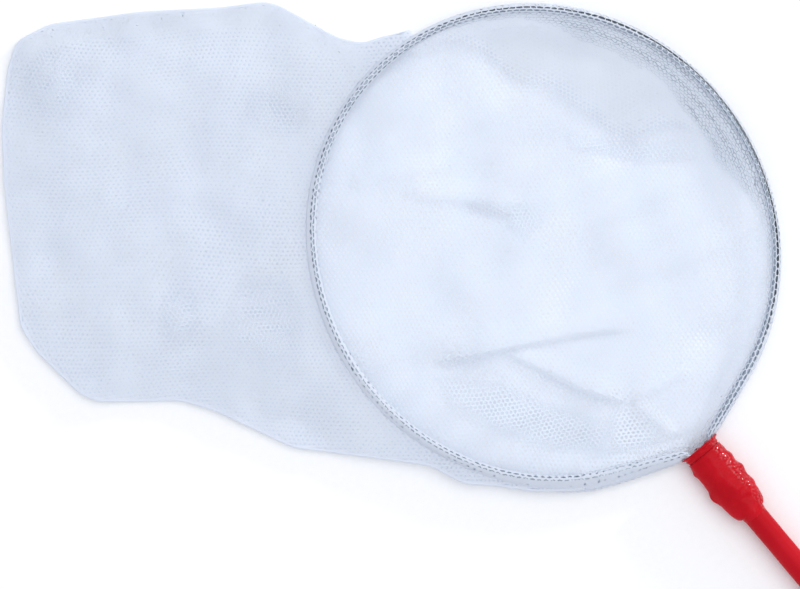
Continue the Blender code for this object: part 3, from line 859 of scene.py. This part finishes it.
WIRE = surface("galvanised_wire", ((0.32, 0.375, 0.45), (0.45, 0.51, 0.585)), (0.3, 0.5), (220, 1400),
               (0.15, 0.1 * MM), metallic=0.9)
# Painted shade on the outer side of the far wire: its heading in degrees, where along that heading it fades
# in, and the tone that darkens the wire's colour
PAINTED_SHADE_HEADING = math.radians(95.0)
OUTER_SIDE = 0.35
PAINTED_SHADE_START, PAINTED_SHADE_END = 20 * MM, 75 * MM
PAINTED_SHADE_TONE = (0.20, 0.205, 0.215)
paint_wire_shade(WIRE, (math.cos(PAINTED_SHADE_HEADING), math.sin(PAINTED_SHADE_HEADING), 0.0), PAINTED_SHADE_START, PAINTED_SHADE_END, PAINTED_SHADE_TONE)
STEEL = surface("tube_steel", ((0.42, 0.43, 0.45), (0.48, 0.49, 0.51)), (0.3, 0.5), (150, 1200),
                (0.1, 0.1 * MM), metallic=1.0)
RED = surface("red_skin", ((0.44, 0.005, 0.011), (0.53, 0.008, 0.017)), (0.05, 0.10), (90, 500),
              (0.02, 0.2 * MM))
SPOT_SCALE, SPOT_DETAIL, SPOT_STOPS = 900, 2.0, (0.51, 0.57)
SPOTS_FROM, SPOTS_TO = 4.8 * MM, 6.2 * MM
LEAST_SHINE, MOST_SHINE = 0.06, 0.9
gloss_spots(RED, SPOTS_FROM, SPOTS_TO, LEAST_SHINE, MOST_SHINE)
RED_HANDLE = surface("red_handle_skin", ((0.46, 0.006, 0.013), (0.50, 0.008, 0.017)), (0.34, 0.46),
                     (40, 700), (0.10, 0.1 * MM), shine=0.05)


# Pieces; the wave numbers in their sines are in radians per metre


def fit(obj, slot, *nodes):
    """Put a piece on the part in the place of CAD nodes."""
    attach(obj, "root")
    if nodes:
        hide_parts(*nodes)
    return obj


def round_angles(sides):
    """Even directions round a section."""
    return np.linspace(0, 2 * math.pi, sides, endpoint=False)


def sweep_rings(path, radius, sides):
    """Round section along a level path."""
    along = unit(np.gradient(path, axis=0))
    outward = np.column_stack((along[:, 1], -along[:, 0]))
    angles = round_angles(sides)
    flat = path[:, None, :] + outward[:, None, :] * (radius * np.cos(angles))[None, :, None]
    height = np.broadcast_to(AXIS_Z + radius * np.sin(angles), flat.shape[:2])
    return np.concatenate((flat, height[:, :, None]), axis=2)


def with_ends(rings):
    """Rings closed by a small point at each end, so that the skin has no open edge."""
    first, last = rings[0].mean(axis=0), rings[-1].mean(axis=0)
    start = np.broadcast_to(first, rings[0].shape) + (rings[0] - first) * END_POINT
    end = np.broadcast_to(last, rings[-1].shape) + (rings[-1] - last) * END_POINT
    return np.concatenate((start[None], rings, end[None]))


def add_wire():
    rings = sweep_rings(resampled(WIRE_PATH, RIM_STEP), WIRE_RADIUS, WIRE_SIDES)
    wire = loft("hoop_wire_fine", with_ends(rings), WIRE, closed=False)
    fit(wire, "galvanised_wire", "hoop_wire")


def oval_rings(stations, half_widths, half_heights, sides):
    """Ovals across the handle's axis."""
    angles = round_angles(sides)
    rings = np.empty((len(stations), sides, 3))
    rings[:, :, 0] = np.asarray(stations)[:, None]
    rings[:, :, 1] = np.asarray(half_widths)[:, None] * np.cos(angles)
    rings[:, :, 2] = AXIS_Z + np.asarray(half_heights)[:, None] * np.sin(angles)
    return rings


def add_tube(name, outer, stations, half_widths, half_heights, mat, node):
    """Red tube between its outer rings and the ovals of its bore."""
    bore = oval_rings(stations, half_widths, half_heights, outer.shape[1])
    fit(loft(name, np.concatenate((outer, bore[::-1])), mat, closed=True), "red_skin", node)


def add_handle():
    stations = np.linspace(COATING_START, CORE_END, HANDLE_RINGS)
    wave = HANDLE_WAVE * np.sin(stations * 210) * np.sin(stations * 37)
    outer = oval_rings(stations, COATING_RADIUS + wave, COATING_RADIUS + wave, ROUND_SIDES)
    lining = np.full(len(stations), TUBE_RADIUS + GAP)
    add_tube("handle_skin", outer, stations, lining, lining, RED_HANDLE, "handle_coating")

    mouth, floor = HANDLE_END - CAP_LENGTH, HANDLE_END - CAP_END
    chamfer_run, chamfer_depth = CAP_CHAMFER
    bend = np.linspace(0, math.pi / 2, BEND_STEPS)
    end = HANDLE_END - CAP_ROUND * (1 - np.sin(bend))
    stations = [floor, floor, mouth, mouth, mouth + chamfer_run, *end, HANDLE_END]
    rim = CAP_RADIUS - CAP_ROUND * (1 - np.cos(bend))
    radii = [CAP_POINT, GRIP_RADIUS, GRIP_RADIUS, CAP_RADIUS - chamfer_depth, CAP_RADIUS, *rim, CAP_POINT]
    cap = loft("handle_cap_fine", oval_rings(stations, radii, radii, ROUND_SIDES), RED_HANDLE, closed=False)
    fit(cap, "red_skin", "handle_end_cap")


def sleeve_profile(x):
    """Half width and half height of the sleeve's inside along the handle, and its wall."""
    shoulder, seat = SLEEVE_END - SHOULDER_LENGTH, SLEEVE_END - SHOULDER_GRIP
    share = np.clip((x - SLEEVE_START) / (shoulder - SLEEVE_START), 0, 1)
    bulge = share ** math.log(0.5, SLEEVE_SWELL_AT)
    wall = SLEEVE_WALL + SLEEVE_SWELL * np.sin(math.pi * bulge)
    drop_share = np.clip((x - shoulder) / (seat - shoulder), 0, 1)
    drop = 1 - np.sqrt(np.maximum(1 - drop_share**2, 0))
    wall = np.where(x > shoulder, SLEEVE_WALL + (SLEEVE_END_WALL - SLEEVE_WALL) * drop_share, wall)
    inner_width = BORE_HALF_WIDTH + (GRIP_RADIUS - BORE_HALF_WIDTH) * drop
    inner_height = BORE_HALF_HEIGHT + (GRIP_RADIUS - BORE_HALF_HEIGHT) * drop_share
    return inner_width, inner_height, wall


# Lumps of the sleeve over the ends of the binding: distance from its start, direction round the handle in
# degrees, height and spread, in millimetres
SLEEVE_LUMPS = (
    (5.5, 190, 1, 2.4), (20.5, 186, 1.6, 2.8), (23.5, 180, 0.7, 2), (9, 8, 0.8, 2.2),
    (17.5, 5, 1.1, 2.6), (27, 2, 0.7, 2.6), (13, 120, 0.5, 3.5), (25, 75, 0.5, 4),
)


def lump(x, angles, start, heading, height, spread):
    """Height of a round lump on the sleeve."""
    away = np.mod(angles - heading + math.pi, 2 * math.pi) - math.pi
    along = ((x - SLEEVE_START - start) / spread) ** 2
    return height * np.exp(-along - (away * BORE_HALF_WIDTH / spread) ** 2)


def sleeve_push(x, angles):
    """How far the sleeve stands out over its plain form: lumps, a jagged crease and small wrinkles."""
    coil_start = SLEEVE_START + BINDING_MARGIN
    coil_end = TANG_END - BINDING_MARGIN
    turn = 2 * math.pi * BINDING_TURNS * (x - coil_start) / (coil_end - coil_start)
    in_coil = ease((x - SLEEVE_START) / COIL_START) * ease((coil_end + COIL_START - x) / COIL_STOP)
    push = COIL_RELIEF * in_coil * (0.5 + 0.5 * np.cos(turn - angles)) ** 2
    for start, heading, height, spread in SLEEVE_LUMPS:
        push = push + lump(x, angles, start * MM, math.radians(heading), height * MM, spread * MM)
    wander = CREASE_WANDER[0] * np.sin(x * 700) + CREASE_WANDER[1] * np.sin(x * 1900 + 1)
    across = (angles - CREASE_ANGLE - wander) * BORE_HALF_WIDTH / CREASE_WIDTH
    jag = CREASE_JAG[0] + CREASE_JAG[1] * np.sin(x * 2600 + 2 * np.sin(x * 900))
    push = push + CREASE_HEIGHT * in_coil * jag * np.exp(-(across**2))
    rng = np.random.default_rng(SLEEVE_SEED)
    for start, heading, height, spread in rng.random((WRINKLES, 4)):
        place = (WRINKLE_PLACES[0] + WRINKLE_PLACES[1] * start) * SLEEVE_LENGTH
        size = (WRINKLE_SIZES[0] + WRINKLE_SIZES[1] * spread) * MM
        rise = (WRINKLE_HEIGHTS[0] + WRINKLE_HEIGHTS[1] * height) * MM
        push = push + lump(x, angles, place, 2 * math.pi * heading, rise, size)
    return push


def add_sleeve():
    stations = np.linspace(SLEEVE_START - SLEEVE_REACH, SLEEVE_END, SLEEVE_RINGS)
    inner_width, inner_height, wall = sleeve_profile(stations)
    grip = ease((stations - SLEEVE_END + SHOULDER_GRIP) / SHOULDER_GRIP)
    inner_width = inner_width - (GAP - SLEEVE_SEAT) * grip
    inner_height = inner_height - (GAP - SLEEVE_SEAT) * grip
    wall = wall - (SLEEVE_END_WALL - SLEEVE_EDGE) * grip
    outer = oval_rings(stations, inner_width + wall, inner_height + wall, OVAL_SIDES)
    angles = round_angles(OVAL_SIDES)[None, :]
    push = sleeve_push(stations[:, None], angles)
    start_fade, end_fade = SLEEVE_FADES
    fade = ease((stations - stations[0]) / start_fade) * ease((SLEEVE_END - stations) / end_fade)
    outward = unit(np.stack((np.cos(angles), np.sin(angles)), axis=-1))[0]
    outer[:, :, 1:] += (push * fade[:, None])[:, :, None] * outward[None, :, :]
    add_tube("joint_sleeve_fine", outer, stations, inner_width, inner_height, RED, "joint_sleeve")


def wire_half_width(x):
    """Half of the width that the two bent wires take up across the handle at x."""
    line = resampled(WIRE_PATH, WIRE_RADIUS / 10)
    near = line[np.abs(line[:, 0] - x) < WIRE_RADIUS]
    return float(np.max(np.abs(near[:, 1]) + np.sqrt(WIRE_RADIUS**2 - (near[:, 0] - x) ** 2)))


def add_lip():
    """Flared lip of the sleeve: a bead in front, a crease behind it and a soft ridge at the back."""
    stations = np.linspace(TAPE_START, TAPE_START + TAPE_WIDTH, LIP_RINGS)
    share = (stations - TAPE_START) / TAPE_WIDTH
    least = BORE_HALF_WIDTH - BINDING_DIAMETER
    inner_width = np.array([max(wire_half_width(x) + GAP, least) for x in stations])
    inner_height = np.full(len(stations), BORE_HALF_HEIGHT)
    front, back = LIP_ROUNDS
    rounded = np.sqrt(np.clip(share / front, END_POINT, 1))
    rounded = rounded * np.sqrt(np.clip((1 - share) / back, END_POINT, 1))
    wall = SLEEVE_WALL * (0.25 + 0.75 * rounded)
    for height, middle, run in (LIP_BEAD, LIP_RIDGE):
        wall = wall + height * np.exp(-(((share - middle) / run) ** 2))
    flare = TAPE_LIP * (1 - share) ** 2
    outer = oval_rings(stations, inner_width + wall + flare, inner_height + wall, OVAL_SIDES)
    angles = round_angles(OVAL_SIDES)[None, :]
    x = stations[:, None]
    crumple = np.sin(angles * 7 + x * 900) * np.sin(angles * 3 + 1)
    crumple = crumple + 0.6 * np.sin(angles * 17 + 3 * np.sin(x * 800))
    outer[:, :, 0] += LIP_SHIFT * np.sin(angles * 5 + 1.3) * (share * (1 - share) * 4)[:, None]
    front, back = LIP_FADES
    crumple = LIP_CRUMPLE * crumple * ease(share / front)[:, None]
    outer[:, :, 2] += crumple * ease((1 - share) / back)[:, None]
    add_tube("neck_tape_fine", outer, stations, inner_width, inner_height, RED, "neck_tape")


def bag_span(outline):
    """Ranges of the bag's own directions that an outline takes up."""
    up, left = part_to_bag(outline)
    return (up.min(), up.max()), (left.min(), left.max())


BAG_SPANS = bag_span(np.vstack((LOWER_OUTLINE, UPPER_OUTLINE)))
WIDE_SPANS = tuple((low - SPAN_MARGIN, high + SPAN_MARGIN) for low, high in BAG_SPANS)


def warp(pull, seed, turn=0.0):
    """Function that puts netting's flat places on the ground plane, pulled about a little."""

    def ground(up, left):
        flat = turned(np.stack((up, left), axis=-1), turn)
        points = bag_to_part(flat[:, 0], flat[:, 1])
        shift = np.column_stack((swell(points, PULL_WAVE, seed), swell(points, PULL_WAVE, seed + 1)))
        return points + pull * shift

    return ground


def laid_net(name, spans, ground, height, kept, widths, mat, *nodes):
    """Netting over the ground plane, where height, kept and widths go by the places that ground gives."""

    def place(up, left):
        points = ground(up, left)
        return np.column_stack((points, height(points)))

    def keep(up, left):
        return kept(ground(up, left))

    def half_width(up, left):
        return widths(ground(up, left))

    return fit(net_piece(name, spans, keep, place, mat, half_width), "netting", *nodes)


def in_folds(points):
    """Where the far wall's folds lie on the lower panel."""
    to_rim, long_reach = in_from_rim(points)
    return (to_rim < long_reach) & (to_rim > WALL_GRIP) & inside(points, LOWER_OUTLINE)


def fold_strands(points):
    """Half width of the strands in the far wall's folds."""
    to_rim, long_reach = in_from_rim(points)
    return np.maximum(FOLD_STRAND * ease((long_reach - to_rim) / FOLD_FADE), THIN_STRAND)


def add_panel(name, outline, height, pull, strand, patches, seeds, mat, node):
    """One of the bag's two panels."""
    pull_seed, strand_seed = seeds
    kept = partial(inside, outline=outline)
    widths = partial(bag_strands, usual=strand, patches=patches, seed=strand_seed)
    return laid_net(name, BAG_SPANS, warp(pull, pull_seed), height, kept, widths, mat, node)


def add_patches(name, rows, ground, height, mat):
    """Netting in patches that fade out towards their borders, apart from a sharp crest."""
    patches = []
    for crest, run, strand, corners in rows:
        patch = bag_to_part(*(np.array(corners) * MM).T)
        soft_side = np.vstack((patch, patch[:1]))[max(crest - 1, 0) :]
        patches.append((patch, resampled(soft_side, LINE_STEP), run * MM, strand * MM))

    def kept(points):
        return np.any([inside(points, patch) for patch, *_ in patches], axis=0)

    def widths(points):
        width = np.full(len(points), THIN_STRAND)
        for patch, soft_side, run, strand in patches:
            to_side, _ = nearest_on(points, soft_side)
            width = np.maximum(width, strand * inside(points, patch) * ease(to_side / run))
        return width

    return laid_net(name, WIDE_SPANS, ground, height, kept, widths, mat)


def pucker(points, panel_height):
    """Middle of the puckers on a panel."""
    return panel_height(points) + PUCKER_LIFT


def along_path(path):
    """Length of a path, and a function that gives the point and the outward side at lengths along it."""
    lengths = path_lengths(path)
    along = unit(np.gradient(path, axis=0))

    def at(length):
        length = np.clip(length, 0, lengths[-1])
        heading = unit(at_marks(length, lengths, along))
        return at_marks(length, lengths, path), np.column_stack((heading[:, 1], -heading[:, 0]))

    return lengths[-1], at


def add_wall():
    """The slack wall just inside the far rim, with its meshes drawn out along the rim."""
    total, at = along_path(FAR_RIM[::-1])

    def ground(u, v):
        point, outward = at(v * WALL_STRETCH)
        return point - outward * (u * WALL_SQUEEZE)[:, None]

    def place(u, v):
        points = ground(u, v)
        _, short_reach = wall_folds(points)
        inward = u * WALL_SQUEEZE
        share = np.clip(inward / short_reach, 0, 1)
        to_lip = np.linalg.norm(points - np.array((TAPE_START, 0.0)), axis=1)
        at_lip = (AXIS_Z - WALL_RISE) * ease(1 - (to_lip - TANG_Y) / WALL_LIP_RUN) * (1 - share)
        under = folded_height(points) + WALL_CLEARANCE
        top = WALL_RISE + NET_THICKNESS - WALL_DROP * share + at_lip
        hang = top + (under - top) * ease((share - WALL_HANG_FROM) / WALL_HANG_RUN)
        ripple = WALL_RIPPLE * np.sin(v * 300 + 3 * np.sin(v * 54)) * ease(inward / WALL_RIPPLE_RUN)
        return np.column_stack((points, np.maximum(hang + ripple, under)))

    def keep(u, v):
        _, short_reach = wall_folds(ground(u, v))
        return (v > 0) & (v * WALL_STRETCH < total) & (u > 0) & (u * WALL_SQUEEZE < short_reach)

    def strands(u, v):
        _, short_reach = wall_folds(ground(u, v))
        inward = u * WALL_SQUEEZE
        streak = 1 + 0.5 * np.sin(2 * math.pi * inward / WALL_STREAK + 2 * np.sin(v * 25))
        streak = streak * (1 + np.random.default_rng(WALL_SEED).normal(0.0, WALL_STRAND_WANDER, len(u)))
        return np.maximum(WALL_STRAND * streak * ease((short_reach - inward) / WALL_FADE), THIN_STRAND)

    spans = ((0, WALL_WIDEST / WALL_SQUEEZE), (0, total / WALL_STRETCH))
    wall = net_piece("net_wall", spans, keep, place, SHADED_WALL_NET, strands, spread=HEM_STRAND_SPREAD,
                     wander=WALL_WANDER)
    return fit(wall, "netting")


# Hem by heading in degrees: slack outward in millimetres, how wide its strands are gathered, and half of the
# width, in millimetres, over which its meshes stand open on the wire
HEM_STATES = (
    (0, 0.6, 1.4, 1.2), (8, 0.6, 0.72, 1.9), (60, 0.5, 0.75, 1.9), (85, 0.5, 0.85, 1.7),
    (125, 0.5, 0.9, 1.6), (160, 0.5, 0.95, 1.2), (200, 0.8, 0.95, 1.1), (236, 1.1, 1, 1.1),
    (252, 1.1, 1.45, 0.9), (300, 1.6, 1.45, 0.8), (312, 3.2, 1.15, 1), (330, 4, 1.25, 1),
    (342, 3.4, 1.7, 0.8), (360, 0.6, 1.4, 1.2),
)


def add_hem():
    """Sleeve of netting round the wire, squeezed into the red lip at its ends."""
    total, at = along_path(HEM_PATH)
    girth = HEM_ROWS * PITCH * math.sqrt(3) / 2
    half_height = HEM_HALF_HEIGHT - HEM_WALL / 2
    headings, slacks, gathers, bands = np.array(HEM_STATES).T

    def section(u, v):
        """Point of the wire, direction out of the hoop, heading, and place across and above the wire."""
        length = v * HEM_STRETCH
        point, outward = at(length)
        heading = headings_of(point)
        loose = ease(np.minimum(length, total - length) / HEM_LOOSE)
        slack = np.interp(heading, headings, slacks) * MM * loose
        slack = slack * (1 + HEM_SWING * np.sin(v * 61) * np.sin(v * 23 + 1))
        half = WIRE_RADIUS + GAP / 2 + (half_height - WIRE_RADIUS - GAP / 2) * loose
        around = 1.5 * math.pi - 2 * math.pi * u / girth + HEM_TWIST * np.sin(v * 40)
        side = slack / 2 + (half + slack / 2) * np.cos(around)
        sag = HEM_SAG * slack * ease(0.5 + 0.5 * np.cos(around))
        return point, outward, heading, side, AXIS_Z + half * np.sin(around) - sag

    def place(u, v):
        point, outward, _, side, height = section(u, v)
        return np.column_stack((point + outward * side[:, None], height))

    def keep(u, v):
        around = (u > -HEM_BEFORE * PITCH) & (u < girth + HEM_AFTER * PITCH)
        return around & (v > 0) & (v * HEM_STRETCH < total)

    def strands(u, v):
        _, _, heading, side, _ = section(u, v)
        side = side / MM
        far = ease((heading - BARE_FROM) / BARE_FADE) * ease((BARE_TO - heading) / BARE_FADE)
        bare = far * ease((side - BARE_IN) / BARE_IN_FADE) * ease((BARE_OUT - side) / BARE_OUT_FADE)
        closing = ease((np.abs(side) - np.interp(heading, headings, bands)) / HEM_CLOSING)
        closed = CLOSED_STRAND + (FLAP_STRAND - CLOSED_STRAND) * ease((side - FLAP_FROM) / FLAP_FADE)
        swing = 1 + GATHER_SWING * np.sin(v * 37 + 1) * np.sin(v * 13)
        gather = np.interp(heading, headings, gathers) * swing
        wander = np.random.default_rng(HEM_SEED).normal(0.0, HEM_STRAND_WANDER, len(u))
        width = HEM_STRAND * gather * (1 + wander)
        width = width + (closed - width) * closing * (1 - far)
        return np.clip(width * (1 - BARE_SHARE * bare), THIN_STRAND, FLAP_STRAND)

    spans = ((0, girth + PITCH), (0, total / HEM_STRETCH))
    hem = net_piece("rim_hem_net", spans, keep, place, SHADED_HEM_NET, strands, HEM_STRAND_HEIGHT,
                    HEM_STRAND_SPREAD, HEM_WANDER)
    return fit(hem, "netting", "rim_hem")


def add_seam():
    """Smooth folded band that closes the two panels round the edge of the tail."""
    edge = resampled(TAIL_EDGE, LINE_STEP)
    _, at = along_path(edge)
    runs = path_lengths(edge)
    point, outward = at(runs)
    taper = ease(np.minimum(runs, runs[-1] - runs) / SEAM_TAPER)
    outward = outward * np.maximum(taper, SEAM_TIP)[:, None]
    rows = []
    for share in np.linspace(1.0, 0.0, 4):
        flat = point - outward * (SEAM_NARROW * share)
        rows.append(np.column_stack((flat, upper_height(flat) + SEAM_LIFT)))
    top = rows[-1][:, 2]
    for turn in np.radians(SEAM_TURNS):
        flat = point + outward * (SEAM_ROUND * math.sin(turn))
        height = SEAM_LOW + (top - SEAM_LOW) * (0.5 + 0.5 * math.cos(turn))
        rows.append(np.column_stack((flat, height)))
    for share in (0.5, 1.0):
        flat = point - outward * (SEAM_NARROW * share)
        rows.append(np.column_stack((flat, np.full(len(flat), SEAM_LOW))))
    rings = np.stack(rows)
    count, length, _ = rings.shape
    index = np.arange(count * length).reshape(count, length)
    quads = np.stack((index[:-1, :-1], index[:-1, 1:], index[1:, 1:], index[1:, :-1]), axis=-1)
    seam = mesh_piece("bag_seam_band", rings.reshape(-1, 3), quads.reshape(-1, 4), BAND)
    return fit(seam, "netting", "bag_seam")


add_wire()
add_handle()
add_sleeve()
add_lip()
lower_net = add_panel("net_lower", LOWER_OUTLINE, lower_height, LOWER_PULL, LOWER_STRAND, LOWER_PATCHES,
                      (21, 51), NET, "net_lower_panel")
upper_net = add_panel("net_upper", UPPER_OUTLINE, upper_height, UPPER_PULL, UPPER_STRAND, UPPER_PATCHES,
                      (31, 61), LIGHTENED_NET, "net_upper_panel")
fold_ground = warp(FOLD_PULL, 41, FOLD_TURN)
folded_net = laid_net("net_folds", WIDE_SPANS, fold_ground, folded_height, in_folds, fold_strands, LIGHTENED_NET)
tucked_net = add_patches("net_tucks", TUCKS, fold_ground, folded_height, FOLDED_NET)
mouth_puckers = add_patches("net_mouth_puckers", MOUTH_PUCKERS, warp(PUCKER_PULL, 71, PUCKER_TURN),
                            partial(pucker, panel_height=lower_height), PUCKER_NET)
tail_puckers = add_patches("net_tail_puckers", TAIL_PUCKERS, warp(PUCKER_PULL, 81, PUCKER_TURN),
                           partial(pucker, panel_height=upper_height), FOLDED_NET)
wall_net = add_wall()
hem_net = add_hem()
seam_band = add_seam()
for name, mat in (("handle_tube", STEEL), ("tang_binding", WIRE)):
    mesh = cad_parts[name].data
    mesh.materials.clear()
    mesh.materials.append(mat)


# Stage

FLOOR_HALF = 30.0
FLOOR_TONES = (0.97, 0.985)
FLOOR_GRAIN = 300
FLOOR_ROUGHNESS = 0.9
SKY_LOW, SKY_HIGH, SKY_STOPS = (1.0, 1.015, 1.07), (0.66, 0.675, 0.716), (0.10, 0.75)
# Lamps: place, the point that they face, watts, and length of a side
LAMPS = {
    "key": ((-0.35, 3.3, 7.1), (0.0, 0.0, 0.0), 228.0, 7.0),
    "spark": ((-0.2, 3.3, 0.75), (0.15, 0.0, 0.0), 36.0, 0.22),
}


def add_floor():
    size = FLOOR_HALF
    points = np.array(((-size, -size, 0), (size, -size, 0), (size, size, 0), (-size, size, 0)))
    mat, tree, shader = node_material("floor_paper")
    floor = mesh_piece("floor", points, np.array(((0, 1, 2, 3),)), mat, smooth=False)
    paper = add_ramp(tree, add_noise(tree, FLOOR_GRAIN), *FLOOR_TONES)
    set_inputs(tree, shader, {"Base Color": paper, "Roughness": FLOOR_ROUGHNESS, "Specular IOR Level": 0.0})


def add_world():
    """Even studio light from all round, brightest near the horizon."""
    world = bpy.data.worlds.new("studio")
    world.use_nodes = True
    bpy.context.scene.world = world
    tree = world.node_tree
    split = add_node(tree, "ShaderNodeSeparateXYZ", {"Vector": coordinates(tree, "Generated")})
    sky = add_ramp(tree, split.outputs["Z"], SKY_LOW, SKY_HIGH, SKY_STOPS)
    set_inputs(tree, tree.nodes["Background"], {"Color": sky, "Strength": 1.0})


def add_lamps():
    """A broad soft lamp from above, and a small one from the side that makes the sleeve's lumps sparkle."""
    for name, (place, aim, power, size) in LAMPS.items():
        data = bpy.data.lights.new(name, "AREA")
        data.energy = power
        data.shape = "SQUARE"
        data.size = size
        lamp = bpy.data.objects.new(name, data)
        lamp.location = place
        lamp.rotation_mode = "QUATERNION"
        lamp.rotation_quaternion = (Vector(aim) - Vector(place)).to_track_quat("-Z", "Y")
        bpy.context.scene.collection.objects.link(lamp)


def add_camera():
    across, down = (size / 2 - middle for size, middle in zip(PHOTO_SIZE, HOOP_MIDDLE_PIXEL))
    aim = bag_to_part(-down * METRES_PER_PIXEL, -across * METRES_PER_PIXEL)
    data = bpy.data.cameras.new("camera")
    data.sensor_width = SENSOR_WIDTH
    data.lens = SENSOR_WIDTH * CAMERA_DISTANCE / (PHOTO_SIZE[0] * METRES_PER_PIXEL)
    camera = bpy.data.objects.new("camera", data)
    right, up = Vector((*-BAG_LEFT, 0.0)), Vector((*BAG_UP, 0.0))
    turn = Matrix((right, up, right.cross(up))).transposed().to_4x4()
    camera.matrix_world = Matrix.Translation((*aim, AXIS_Z + CAMERA_DISTANCE)) @ turn
    bpy.context.scene.collection.objects.link(camera)
    bpy.context.scene.camera = camera


add_floor()
add_world()
add_lamps()
add_camera()
bpy.context.scene.view_settings.view_transform = "Standard"
